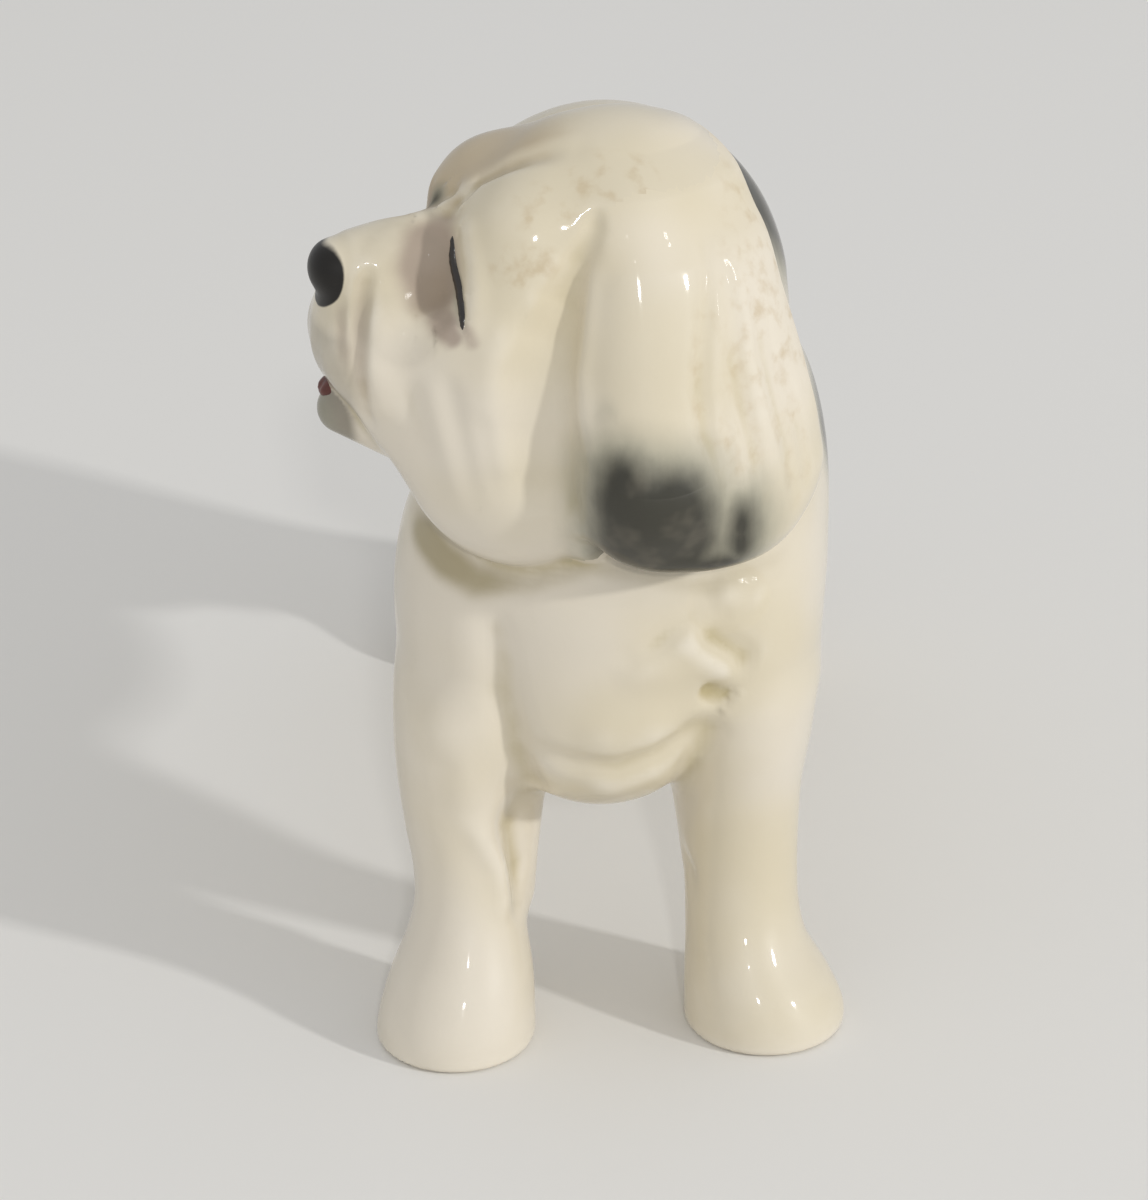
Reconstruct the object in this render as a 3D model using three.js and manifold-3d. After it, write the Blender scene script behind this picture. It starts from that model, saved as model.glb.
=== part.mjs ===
// A glazed ceramic spaniel that stands on four legs and looks to its right.
// The figure is slip cast in several moulds, and its pieces are luted together before the firing.
// Millimetres, +Z up. The dog faces -Y, and +X is its left side. The soles rest on the plane z = 0.
import * as THREE from "three";
import { mergeVertices } from "three/addons/utils/BufferGeometryUtils.js";
import Module from "manifold-3d";

const wasm = await Module();
wasm.setup();

// Gap left between two pieces that touch on the real figure
const JOINT_GAP = 0.3;

// Size of the mesh cells: small on the face, larger on the plain body
const BODY_CELL = 4.0;
const HEAD_CELL = 2.7;
const EAR_CELL = 2.7;
const RIGHT_EAR_CELL = 2.2;
const LEG_CELL = 2.8;
const TAIL_CELL = 1.7;
const JAW_CELL = 1.6;
const SMALL_CELL = 1.0;

// How far in front of and behind the middle the legs reach, and half the gap between a pair of legs
const FORELEG_DEPTH = [-74, -18];
const HINDLEG_DEPTH = [14, 70];
const LEG_MIDDLE_GAP = 1;

// Heights of the luting joints, and the distance of the tail's joint from the chest
const FORELEG_JOINT_Z = 28.0;
const HINDLEG_JOINT_Z = 31.0;
const TAIL_JOINT_Y = 63.5;

// Head: its centre, and how far it turns to the dog's right, nods down and tips to the dog's left
const HEAD_CENTRE = [-2.0, -52.5, 97.8];
const HEAD_TURN = 76;
const HEAD_NOD = 8;
const HEAD_TIP = 6;

// Forelegs as stacks of elliptic sections: height, centre x, centre y, half width, half depth
const RIGHT_FORELEG = [
  [0, -17.8, -57.4, 9.3, 9.9],
  [3, -17.6, -57.3, 9.1, 9.7],
  [7.6, -17.0, -55.8, 8.3, 9.2],
  [12, -16.4, -54.2, 7.0, 8.2],
  [16, -16.2, -53.4, 6.3, 7.2],
  [20, -16.4, -53.0, 6.2, 6.9],
  [25, -17.0, -52.8, 6.4, 7.2],
  [30, -17.2, -52.6, 6.9, 8.2],
  [37, -17.0, -52.2, 7.6, 9.6],
  [46, -16.0, -50.0, 8.0, 11.0],
];
const LEFT_FORELEG = [
  [0, 18.3, -53.6, 9.4, 9.8],
  [2.5, 18.2, -53.5, 9.3, 9.7],
  [5.5, 17.5, -52.8, 8.6, 9.3],
  [10, 16.1, -51.2, 7.1, 8.4],
  [14, 15.6, -50.2, 6.65, 7.3],
  [18, 15.4, -49.8, 6.6, 6.9],
  [23, 15.2, -49.6, 6.8, 7.2],
  [29, 15.0, -49.6, 7.2, 8.2],
  [36, 15.2, -49.8, 7.6, 9.6],
  [46, 15.4, -49.0, 8.0, 11.0],
];
const FORELEG_FOOT = -9;
const FORELEG_TOP = 44;

// Ears as stacks of the same kind of section
const LEFT_EAR = [
  [61.5, 10.6, -67.0, 5.0, 3.0],
  [64.5, 10.2, -67.2, 8.6, 4.2],
  [67.8, 10.0, -66.8, 11.6, 5.0],
  [72, 10.4, -66.2, 12.9, 5.4],
  [76, 9.9, -65.4, 13.0, 5.6],
  [83, 8.8, -64.2, 12.5, 5.8],
  [92, 8.0, -61.8, 10.6, 5.8],
  [99.5, 7.2, -57.4, 8.8, 6.0],
  [104, 6.4, -53.4, 6.4, 5.6],
  [107.6, 5.4, -48.5, 3.6, 4.0],
];
const LEFT_EAR_MIDDLE_X = 8;
const LEFT_EAR_TURN = 0.22;
const LEFT_EAR_CURL = 0.022;
// The right ear leans back on the neck, so its sections are counted along the lean from its lower end
const RIGHT_EAR_FOOT = [-5, -10, 80.5];
const RIGHT_EAR_LEAN = 45;
const RIGHT_EAR = [
  [0, 0, 0.5, 5, 3],
  [3, 0, -0.8, 8.4, 3.8],
  [7, 0.2, -2.8, 11, 4.3],
  [12, 0.6, -4.8, 11.9, 4.4],
  [18, 1.4, -6, 11.2, 4.5],
  [25, 2.4, -6, 9.4, 4.6],
  [31, 3.2, -4.8, 7.2, 4.6],
  [37, 3.8, -3, 4.4, 4],
];

// The crease below the cheek and the ear: x, y, z, width, depth
const THROAT_CREASE = [
  [-25, -52, 78, 3, 0],
  [-24, -56, 74, 3, 1.5],
  [-21.5, -62, 67.5, 3, 2.2],
  [-15, -66.5, 62.5, 3, 2.4],
  [-7, -68.5, 61.5, 3, 2.4],
  [1, -68.5, 61, 3, 2.2],
  [9, -68, 58.5, 3, 2.2],
  [17, -65, 60.5, 3, 2.2],
  [24, -60, 66, 3, 1.5],
  [25, -54, 74, 3, 0],
];
// The valley between the chest and the right foreleg
const CHEST_VALLEY = [
  [-14, -59, 62, 2, 0],
  [-12, -62, 49, 2, 1],
  [-8, -62, 38, 2, 1],
  [-6, -60, 32, 2, 0.5],
];
// The hollow between the cheek and the ear, seen from the side of the head: forward, up, width, depth
const CHEEK_HOLLOW = [
  [1.1, 7.4, 1.0, 0],
  [4.4, 1.6, 1.8, 1.2],
  [9.0, -5.7, 3.2, 1.8],
  [12.0, -13.0, 4.2, 1.8],
  [12.0, -25.3, 3.6, 0],
];
// The furrow between the two halves of the forehead: forward, left, up, width, depth
const BROW_FURROW = [
  [15.4, 1.2, 6.2, 1.6, 0.3],
  [13.8, 1.4, 7.2, 1.7, 0.8],
  [9.3, 2.4, 10.0, 1.8, 0.8],
  [4.0, 4.2, 11.2, 2.1, 0.4],
  [-0.6, 5.8, 11.1, 2.4, 0],
];
// The hollow in front of the left eye: forward, left, up, width, depth
const EYE_HOLLOW = [
  [15.4, 0.8, 6.3, 1.6, 0],
  [18.0, 3.2, 4.5, 2.2, 1.0],
  [19.5, 6.2, 0.6, 2.5, 1.3],
  [19.1, 9.3, -2.1, 2.0, 0.6],
  [18.8, 11.0, -3.6, 1.6, 0],
];

const degrees = (angle) => (angle * Math.PI) / 180;
const dot = (a, b) => a[0] * b[0] + a[1] * b[1] + a[2] * b[2];
const cross = (a, b) => [
  a[1] * b[2] - a[2] * b[1],
  a[2] * b[0] - a[0] * b[2],
  a[0] * b[1] - a[1] * b[0],
];
const minus = (a, b) => a.map((value, i) => value - b[i]);
const clamp = (value, low, high) => Math.min(Math.max(value, low), high);

// The head's own directions: forward, left and up
function headDirections() {
  const [turn, nod, tip] = [HEAD_TURN, HEAD_NOD, HEAD_TIP].map(degrees);
  const forward = [-Math.sin(turn) * Math.cos(nod), -Math.cos(turn) * Math.cos(nod), -Math.sin(nod)];
  const level = [Math.cos(turn), -Math.sin(turn), 0];
  const upright = cross(forward, level);
  const left = level.map((value, i) => Math.cos(tip) * value - Math.sin(tip) * upright[i]);
  const up = level.map((value, i) => Math.cos(tip) * upright[i] + Math.sin(tip) * value);
  return [forward, left, up];
}

const [FORWARD, LEFT, UP] = headDirections();

function toHead(p) {
  const q = minus(p, HEAD_CENTRE);
  return [dot(q, FORWARD), dot(q, LEFT), dot(q, UP)];
}

const mirrored = (p, axis) => p.map((value, i) => (i === axis ? Math.abs(value) : value));

// Each shape is a field over points: negative inside, zero on the surface, positive outside.
// softMin joins two shapes with a fillet of about the given size.
function softMin(a, b, size) {
  const h = clamp(0.5 + (0.5 * (b - a)) / size, 0, 1);
  return b + (a - b) * h - size * h * (1 - h);
}

const softMax = (a, b, size) => -softMin(-a, -b, size);

function ellipsoid(p, centre, radii) {
  const q = minus(p, centre);
  const near = Math.hypot(...q.map((value, i) => value / radii[i]));
  const slope = Math.hypot(...q.map((value, i) => value / radii[i] ** 2));
  return (near * (near - 1)) / (slope + 1e-9);
}

// A limb from a to b, round at both ends
function limb(p, a, b, radiusA, radiusB) {
  const ba = minus(b, a);
  const pa = minus(p, a);
  const along = clamp(dot(pa, ba) / dot(ba, ba), 0, 1);
  const off = pa.map((value, i) => value - along * ba[i]);
  return Math.hypot(...off) - radiusA - along * (radiusB - radiusA);
}

// A soft groove along a line: each row ends with the groove's width and depth
function groove(p, rows) {
  const size = p.length;
  let nearest = Infinity;
  let depth = 0;
  for (let i = 0; i + 1 < rows.length; i += 1) {
    const [a, b] = [rows[i], rows[i + 1]];
    let reach = 0;
    let length = 0;
    for (let j = 0; j < size; j += 1) {
      reach += (p[j] - a[j]) * (b[j] - a[j]);
      length += (b[j] - a[j]) ** 2;
    }
    const along = clamp(reach / length, 0, 1);
    const eased = along * along * (3 - 2 * along);
    const width = a[size] + eased * (b[size] - a[size]);
    let distance = 0;
    for (let j = 0; j < size; j += 1) distance += (p[j] - a[j] - along * (b[j] - a[j])) ** 2;
    distance /= width * width;
    if (distance < nearest) {
      nearest = distance;
      depth = (a[size + 1] + eased * (b[size + 1] - a[size + 1])) * Math.exp(-distance);
    }
  }
  return depth;
}

// A smooth curve through one column of a stack of sections
function sectionValue(keys, z, column) {
  let i = 0;
  while (i < keys.length - 2 && z > keys[i + 1][0]) i += 1;
  const slope = (k) => {
    const [low, high] = [keys[Math.max(k - 1, 0)], keys[Math.min(k + 1, keys.length - 1)]];
    return (high[column] - low[column]) / (high[0] - low[0]);
  };
  const [a, b] = [keys[i], keys[i + 1]];
  const height = b[0] - a[0];
  const t = clamp((z - a[0]) / height, 0, 1);
  const start = (1 + 2 * t) * (1 - t) ** 2 * a[column] + t * (1 - t) ** 2 * height * slope(i);
  return start + t * t * (3 - 2 * t) * b[column] + t * t * (t - 1) * height * slope(i + 1);
}

// An upright shape made of a stack of elliptic sections
function stack(p, keys, bottom, top) {
  const [x, y, halfWidth, halfDepth] = [1, 2, 3, 4].map((column) => sectionValue(keys, p[2], column));
  const q = [p[0] - x, p[1] - y];
  const near = Math.hypot(q[0] / halfWidth, q[1] / halfDepth);
  const slope = Math.hypot(q[0] / halfWidth ** 2, q[1] / halfDepth ** 2);
  const wall = (near * (near - 1)) / (slope + 1e-9);
  return softMax(softMax(0.9 * wall, p[2] - top, 4), bottom - p[2], 3);
}

// Trunk: chest, ribs, rump, back, thighs, shoulders, brisket and neck
function trunkField(p) {
  const side = mirrored(p, 0);
  const chest = ellipsoid(p, [0, -42, 54], [22.5, 23, 24]);
  const ribs = ellipsoid(p, [0, -2, 57], [24, 40, 22.4]);
  const rump = ellipsoid(p, [0, 41, 57], [24, 21, 24.6]);
  const back = limb(p, [0, -24, 66], [0, 38, 66.5], 13, 13.4);
  const thigh = ellipsoid(side, [13, 41, 44], [9.5, 15.5, 19]);
  const shoulder = ellipsoid(side, [15.5, -46, 48], [8.4, 14, 20]);
  const upperArm = ellipsoid(p, [14.5, -38, 60], [9.6, 15, 14]);
  const shoulderBlade = ellipsoid(p, [15.2, -28, 64], [9.6, 18, 15]);
  const brisket = ellipsoid(p, [-1, -53, 43], [14, 11.5, 14.2]);
  const neck = limb(p, [1, -36, 68], [2, -48, 90], 17, 12);
  let d = softMin(chest, ribs, 9);
  d = softMin(d, rump, 11);
  d = softMin(d, back, 5);
  d = softMin(d, thigh, 7);
  d = softMin(d, shoulder, 6);
  d = softMin(d, upperArm, 5);
  d = softMin(d, shoulderBlade, 5);
  d = softMin(d, brisket, 3);
  d = softMin(d, neck, 7);
  return d + groove(p, THROAT_CREASE) + groove(p, CHEST_VALLEY);
}

// A foreleg with a flared foot, and the feathering along its back
function forelegField(p, side) {
  const onRight = side < 0;
  const leg = stack(p, onRight ? RIGHT_FORELEG : LEFT_FORELEG, FORELEG_FOOT, FORELEG_TOP);
  const feathering = onRight
    ? limb(p, [-11.5, -48.5, 40], [-11.6, -50, 16], 5.5, 2.9)
    : limb(p, [11, -45.5, 42], [12.2, -46.5, 20], 6, 2.9);
  return softMin(leg, feathering, 3);
}

// A hind leg: stifle, hock, foot and feathering
function hindlegField(p, side) {
  const hock = [side * 15, 53, 20];
  const stifle = limb(p, [side * 14.5, 34, 38], hock, 9, 5.4);
  const shank = limb(p, hock, [side * 16, 51, 7], 5.6, 6.2);
  const foot = ellipsoid(p, [side * 16.5, 49, 3.4], [8.8, 10.4, 7.2]);
  const feathering = limb(p, [side * 14, 50, 38], [side * 14.5, 56.5, 24], 5.4, 2.6);
  return softMin(softMin(softMin(stifle, shank, 5), foot, 4), feathering, 5);
}

const tailField = (p) => limb(p, [0, 56, 66], [0, 68, 69.5], 5.2, 3.6);

// Trunk, legs and tail as one flowing surface
function bodyField(p) {
  let d = trunkField(p);
  for (const side of [-1, 1]) {
    d = softMin(d, forelegField(p, side), 3.5);
    d = softMin(d, hindlegField(p, side), 5);
  }
  return softMin(d, tailField(p), 5);
}

// Head: skull, brows, muzzle, hanging lips, cheeks and throat
function headField(p) {
  const h = toHead(p);
  const side = mirrored(h, 1);
  const skull = ellipsoid(h, [0, 0, 1.2], [14.5, 11.4, 11.3]);
  const leftBrow = ellipsoid(h, [8, 5.3, 1.6], [8, 6.3, 7.5]);
  const rightBrow = ellipsoid(h, [8.6, -5.5, 2.6], [7.8, 6, 7.5]);
  const muzzle = limb(h, [12, 0, 0.2], [25.7, 0, -0.1], 6.1, 5.1);
  const lip = ellipsoid(side, [24.2, 4, -7.5], [7.6, 4.2, 7.2]);
  const lipCorner = ellipsoid(side, [21.6, 4.2, -11.4], [7.8, 4.3, 8.2]);
  const lipFront = ellipsoid(h, [25.6, 0, -7.4], [6.8, 6, 7.6]);
  const cheek = ellipsoid(side, [8, 8.2, -10], [13, 6.2, 12]);
  const cheekRoll = ellipsoid(p, [-9.5, -60.4, 77.2], [13.8, 8.6, 16]);
  const underEar = ellipsoid(p, [-1, -58.8, 75], [9, 7.2, 9.4]);
  const throat = ellipsoid(h, [10, -4.5, -16.5], [12, 7.5, 14.5]);
  let d = softMin(skull, leftBrow, 3.5);
  d = softMin(d, rightBrow, 2.5);
  d = softMin(d, muzzle, 4);
  d = softMin(d, lip, 3);
  d = softMin(d, lipCorner, 2);
  d = softMin(d, lipFront, 2);
  d = softMin(d, cheek, 5);
  d = softMin(d, cheekRoll, 6);
  d = softMin(d, underEar, 4);
  d = softMin(d, throat, 6);
  const onLeft = clamp((h[1] - 1) / 4, 0, 1);
  const besideEar = groove([h[0], h[2]], CHEEK_HOLLOW) * onLeft;
  return d + besideEar + groove(h, BROW_FURROW) + groove(side, EYE_HOLLOW);
}

const noseField = (p) => ellipsoid(toHead(p), [28.5, 0, 1.3], [3, 3.6, 3.3]);

// The lower jaw hangs a little open and rises to its tip
function jawField(p) {
  const h = toHead(p);
  const front = limb(h, [20, 0, -21], [30, 0, -15.4], 5, 2.9);
  const rear = limb(h, [12, 0, -24], [20, 0, -21], 4.8, 5);
  return softMin(front, rear, 1);
}

const tongueField = (p) => ellipsoid(toHead(p), [28.3, -0.8, -13.1], [3.9, 2.8, 1.3]);

// A nearly closed eye: a slim ball that lies along the slit between the lids
function eyeField(p, side) {
  const h = toHead(p);
  return limb([h[0], side * h[1], h[2]], [16.2, 5.9, 2.6], [16.8, 9.4, -0.9], 1.3, 1.2);
}

// The left ear hangs over the cheek, with a thick roll along its front edge.
// Its hind edge turns and curls back.
function leftEarField(p) {
  const fromMiddle = p[0] - LEFT_EAR_MIDDLE_X;
  const curl = LEFT_EAR_CURL * Math.max(fromMiddle, 0) ** 2;
  const turned = [p[0], p[1] - LEFT_EAR_TURN * fromMiddle - curl, p[2]];
  const flap = stack(turned, LEFT_EAR, 63.6, 107);
  const roll = limb(p, [2, -60.8, 98], [4.4, -68.2, 73.4], 5.6, 6.6);
  return softMin(flap, roll, 4);
}

// The right ear lies on the back of the neck
function rightEarField(p) {
  const [x, y, z] = minus(p, RIGHT_EAR_FOOT);
  const lean = degrees(RIGHT_EAR_LEAN);
  const along = Math.cos(lean) * z - Math.sin(lean) * y;
  const out = Math.sin(lean) * z + Math.cos(lean) * y;
  return stack([x, out, along], RIGHT_EAR, 2, 37);
}

// Meshes the zero level of a field inside a box: one vertex in each cell that the surface crosses
function surfaceMesh(field, low, high, cell) {
  const count = low.map((value, i) => Math.ceil((high[i] - value) / cell) + 1);
  const [nx, ny, nz] = count;
  const at = (i, j, k) => (i * ny + j) * nz + k;
  const values = new Float64Array(nx * ny * nz);
  for (let i = 0; i < nx; i += 1) {
    for (let j = 0; j < ny; j += 1) {
      for (let k = 0; k < nz; k += 1) {
        values[at(i, j, k)] = field([low[0] + i * cell, low[1] + j * cell, low[2] + k * cell]);
      }
    }
  }
  const corners = [0, 1, 2, 3, 4, 5, 6, 7].map((n) => [n & 1, (n >> 1) & 1, (n >> 2) & 1]);
  const edges = [];
  corners.forEach((a, m) => {
    corners.forEach((b, n) => {
      if (m < n && Math.abs(a[0] - b[0]) + Math.abs(a[1] - b[1]) + Math.abs(a[2] - b[2]) === 1) {
        edges.push([m, n]);
      }
    });
  });
  const vertices = [];
  const index = new Int32Array(nx * ny * nz).fill(-1);
  for (let i = 0; i + 1 < nx; i += 1) {
    for (let j = 0; j + 1 < ny; j += 1) {
      for (let k = 0; k + 1 < nz; k += 1) {
        const value = corners.map((c) => values[at(i + c[0], j + c[1], k + c[2])]);
        const sum = [0, 0, 0];
        let crossings = 0;
        for (const [m, n] of edges) {
          if (value[m] < 0 === value[n] < 0) continue;
          const t = value[m] / (value[m] - value[n]);
          for (let axis = 0; axis < 3; axis += 1) {
            sum[axis] += corners[m][axis] + t * (corners[n][axis] - corners[m][axis]);
          }
          crossings += 1;
        }
        if (crossings === 0) continue;
        index[at(i, j, k)] = vertices.length / 3;
        const spot = [i, j, k].map((n, axis) => low[axis] + (n + sum[axis] / crossings) * cell);
        vertices.push(...ontoSurface(field, spot, cell));
      }
    }
  }
  const triangles = [];
  const steps = [at(1, 0, 0), at(0, 1, 0), at(0, 0, 1)];
  for (let i = 1; i + 1 < nx; i += 1) {
    for (let j = 1; j + 1 < ny; j += 1) {
      for (let k = 1; k + 1 < nz; k += 1) {
        const here = at(i, j, k);
        for (let axis = 0; axis < 3; axis += 1) {
          const inside = values[here] < 0;
          if (inside === values[here + steps[axis]] < 0) continue;
          const [u, v] = [steps[(axis + 1) % 3], steps[(axis + 2) % 3]];
          const quad = [here - u - v, here - v, here, here - u].map((n) => index[n]);
          if (!inside) quad.reverse();
          triangles.push(quad[0], quad[1], quad[2], quad[0], quad[2], quad[3]);
        }
      }
    }
  }
  return { vertices, triangles };
}

// Moves a point along the field's slope until it lies on the surface, by no more than half a cell
function ontoSurface(field, point, cell) {
  const step = 0.05;
  let spot = point;
  for (let round = 0; round < 2; round += 1) {
    const value = field(spot);
    const slope = [0, 1, 2].map((axis) => {
      const ahead = spot.map((v, i) => (i === axis ? v + step : v));
      return (field(ahead) - value) / step;
    });
    const steep = Math.max(dot(slope, slope), 0.2);
    const move = slope.map((s) => clamp((-value * s) / steep, -cell / 4, cell / 4));
    spot = spot.map((v, i) => v + move[i]);
  }
  return spot;
}

// A closed solid of a field. A positive margin makes it larger by about that much all round.
function solidOf(field, low, high, cell, margin = 0) {
  const { vertices, triangles } = surfaceMesh((p) => field(p) - margin, low, high, cell);
  const mesh = new wasm.Mesh({
    numProp: 3,
    vertProperties: new Float32Array(vertices),
    triVerts: new Uint32Array(triangles),
  });
  return new wasm.Manifold(mesh);
}

// A block between two corners, for the flat luting joints
function blockOf(low, high) {
  const size = minus(high, low);
  const geometry = new THREE.BoxGeometry(...size);
  geometry.translate(...low.map((value, i) => value + size[i] / 2));
  geometry.deleteAttribute("normal");
  geometry.deleteAttribute("uv");
  const merged = mergeVertices(geometry);
  const mesh = new wasm.Mesh({
    numProp: 3,
    vertProperties: new Float32Array(merged.attributes.position.array),
    triVerts: new Uint32Array(merged.index.array),
  });
  return new wasm.Manifold(mesh);
}

// The largest body of a solid, without the slivers that a cut can leave
function mainBody(solid) {
  return solid.decompose().reduce((best, body) => (body.volume() > best.volume() ? body : best));
}

const figure = new THREE.Group();
figure.name = "dog_figurine";

function addPiece(name, solid, material) {
  const mesh = mainBody(solid).getMesh();
  const geometry = new THREE.BufferGeometry();
  geometry.setAttribute("position", new THREE.BufferAttribute(mesh.vertProperties, mesh.numProp));
  geometry.setIndex(new THREE.BufferAttribute(mesh.triVerts, 1));
  geometry.computeVertexNormals();
  const piece = new THREE.Mesh(geometry, material);
  piece.name = name;
  figure.add(piece);
}

const GLAZE_ROUGHNESS = 0.15;
const glaze = (color) => new THREE.MeshStandardMaterial({ color, roughness: GLAZE_ROUGHNESS });
const CREAM = 0xe9e0c8;
const BLACK = 0x1d1a18;
const TONGUE_RED = 0x8f3a30;
const GREY_CREAM = 0xb9b2a4;

// Boxes that hold the trunk, the head, the small pieces of the face and the ears
const TRUNK_BOX = [[-34, -76, 18], [34, 74, 110]];
const HEAD_BOX = [[-38, -76, 56], [20, -32, 114]];
const FACE_BOX = [[-38, -76, 64], [-3, -38, 108]];
const LEFT_EAR_BOX = [[-9, -81, 56], [28, -41, 114]];
const RIGHT_EAR_BOX = [[-24, -52, 66], [16, 4, 114]];
const TAIL_BOX = [[-8, 56, 56], [8, 76, 78]];
const FAR = 200;
const HALF_GAP = JOINT_GAP / 2;

const head = solidOf(headField, ...HEAD_BOX, HEAD_CELL);
const headRoom = solidOf(headField, ...HEAD_BOX, HEAD_CELL, JOINT_GAP);

// The small pieces of the face sit in the head with a gap all round
const nose = solidOf(noseField, ...FACE_BOX, SMALL_CELL);
const noseRoom = solidOf(noseField, ...FACE_BOX, SMALL_CELL, JOINT_GAP);
const tongue = solidOf(tongueField, ...FACE_BOX, SMALL_CELL);
const tongueRoom = solidOf(tongueField, ...FACE_BOX, SMALL_CELL, JOINT_GAP);
const jaw = solidOf(jawField, ...FACE_BOX, JAW_CELL).subtract(headRoom).subtract(tongueRoom);
const jawRoom = solidOf(jawField, ...FACE_BOX, JAW_CELL, JOINT_GAP);
const leftEyeField = (p) => eyeField(p, 1);
const rightEyeField = (p) => eyeField(p, -1);
const leftEye = solidOf(leftEyeField, ...FACE_BOX, SMALL_CELL);
const rightEye = solidOf(rightEyeField, ...FACE_BOX, SMALL_CELL);
const leftEyeRoom = solidOf(leftEyeField, ...FACE_BOX, SMALL_CELL, JOINT_GAP);
const rightEyeRoom = solidOf(rightEyeField, ...FACE_BOX, SMALL_CELL, JOINT_GAP);
const faceRoom = noseRoom.add(tongueRoom).add(leftEyeRoom).add(rightEyeRoom);
const headWithSockets = head.subtract(faceRoom);

// The ears are luted to the skull
const leftEar = solidOf(leftEarField, ...LEFT_EAR_BOX, EAR_CELL).subtract(headRoom);
const leftEarRoom = solidOf(leftEarField, ...LEFT_EAR_BOX, EAR_CELL, JOINT_GAP);
const rightEar = solidOf(rightEarField, ...RIGHT_EAR_BOX, RIGHT_EAR_CELL).subtract(headRoom);
const rightEarRoom = solidOf(rightEarField, ...RIGHT_EAR_BOX, RIGHT_EAR_CELL, JOINT_GAP);

// The trunk ends where the head, the jaw, the ears, the legs and the tail begin
const trunkWithStubs = (p) => {
  const belowLegJoints = FORELEG_JOINT_Z - BODY_CELL - p[2];
  const behindTailJoint = p[1] - TAIL_JOINT_Y - BODY_CELL;
  return Math.max(bodyField(p), belowLegJoints, behindTailJoint);
};
const trunk = solidOf(trunkWithStubs, ...TRUNK_BOX, BODY_CELL)
  .subtract(headRoom)
  .subtract(jawRoom)
  .subtract(leftEarRoom)
  .subtract(rightEarRoom)
  .subtract(blockOf([-FAR, -FAR, -FAR], [FAR, 0, FORELEG_JOINT_Z + HALF_GAP]))
  .subtract(blockOf([-FAR, 0, -FAR], [FAR, FAR, HINDLEG_JOINT_Z + HALF_GAP]))
  .subtract(blockOf([-FAR, TAIL_JOINT_Y - HALF_GAP, 0], [FAR, FAR, FAR]));

// A leg is cut flat at its joint and under its sole, from a finer mesh of the same surface
function legOf(side, [front, rear], joint) {
  const field = (p) => {
    const acrossMiddle = LEG_MIDDLE_GAP - side * p[0];
    const aboveJoint = p[2] - joint - LEG_CELL;
    const belowSole = -LEG_CELL - p[2];
    return Math.max(bodyField(p), acrossMiddle, aboveJoint, belowSole, front - p[1], p[1] - rear);
  };
  const x = [-2, 34].map((value) => side * value).sort((a, b) => a - b);
  const margin = 2 * LEG_CELL;
  const low = [x[0], front - margin, -2 * margin];
  const high = [x[1], rear + margin, joint + 2 * margin];
  const kept = blockOf([-FAR, -FAR, 0], [FAR, FAR, joint - HALF_GAP]);
  return solidOf(field, low, high, LEG_CELL).intersect(kept);
}

const tailWithStub = (p) => Math.max(bodyField(p), TAIL_JOINT_Y - TAIL_CELL - p[1]);
const beforeTail = blockOf([-FAR, -FAR, -FAR], [FAR, TAIL_JOINT_Y + HALF_GAP, FAR]);
const tail = solidOf(tailWithStub, ...TAIL_BOX, TAIL_CELL).subtract(beforeTail);

addPiece("trunk", trunk, glaze(CREAM));
addPiece("head", headWithSockets, glaze(CREAM));
addPiece("lower_jaw", jaw, glaze(GREY_CREAM));
addPiece("tongue", tongue, glaze(TONGUE_RED));
addPiece("nose", nose, glaze(BLACK));
addPiece("left_eye", leftEye, glaze(BLACK));
addPiece("right_eye", rightEye, glaze(BLACK));
addPiece("left_ear", leftEar, glaze(CREAM));
addPiece("right_ear", rightEar, glaze(CREAM));
addPiece("front_left_leg", legOf(1, FORELEG_DEPTH, FORELEG_JOINT_Z), glaze(CREAM));
addPiece("front_right_leg", legOf(-1, FORELEG_DEPTH, FORELEG_JOINT_Z), glaze(CREAM));
addPiece("hind_left_leg", legOf(1, HINDLEG_DEPTH, HINDLEG_JOINT_Z), glaze(CREAM));
addPiece("hind_right_leg", legOf(-1, HINDLEG_DEPTH, HINDLEG_JOINT_Z), glaze(CREAM));
addPiece("tail", tail, glaze(CREAM));

// The origin is the centre of the footprint, on the plane that the soles rest on
const extent = new THREE.Box3().setFromObject(figure);
const middle = extent.getCenter(new THREE.Vector3());
figure.position.set(-middle.x, -middle.y, -extent.min.z);

const part = new THREE.Group();
part.name = "dog_figurine_part";
part.add(figure);

export default part;
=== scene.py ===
"""A glazed ceramic spaniel figurine that stands on a pale table and looks to its right."""

import math
from collections import Counter

import bpy
import numpy as np
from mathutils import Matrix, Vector


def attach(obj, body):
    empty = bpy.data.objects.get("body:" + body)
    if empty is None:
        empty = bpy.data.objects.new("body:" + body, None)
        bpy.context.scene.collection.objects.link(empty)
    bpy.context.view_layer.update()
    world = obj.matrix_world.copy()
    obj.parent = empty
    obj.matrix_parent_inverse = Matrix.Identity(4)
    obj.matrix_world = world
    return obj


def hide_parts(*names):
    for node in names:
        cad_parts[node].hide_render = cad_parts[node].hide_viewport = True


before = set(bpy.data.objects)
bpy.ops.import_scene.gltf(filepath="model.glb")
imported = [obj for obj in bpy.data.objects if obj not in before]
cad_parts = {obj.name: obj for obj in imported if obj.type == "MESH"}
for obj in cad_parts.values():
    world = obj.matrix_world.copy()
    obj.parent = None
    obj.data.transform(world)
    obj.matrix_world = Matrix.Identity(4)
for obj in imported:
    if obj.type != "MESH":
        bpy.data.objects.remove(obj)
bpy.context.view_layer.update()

MM = 0.001
# The figure is sculpted in millimetres beside the frame's origin, and this moves it onto the origin
SHIFT = np.array((2.6212635, 1.6121407, 0.0))
CELL = 0.8

# Head: its centre, and how far it is turned to its right, bowed and tilted
HEAD = np.array((-2.0, -52.5, 97.8))
YAW, PITCH, ROLL = 76.0, 8.0, 6.0

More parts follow.
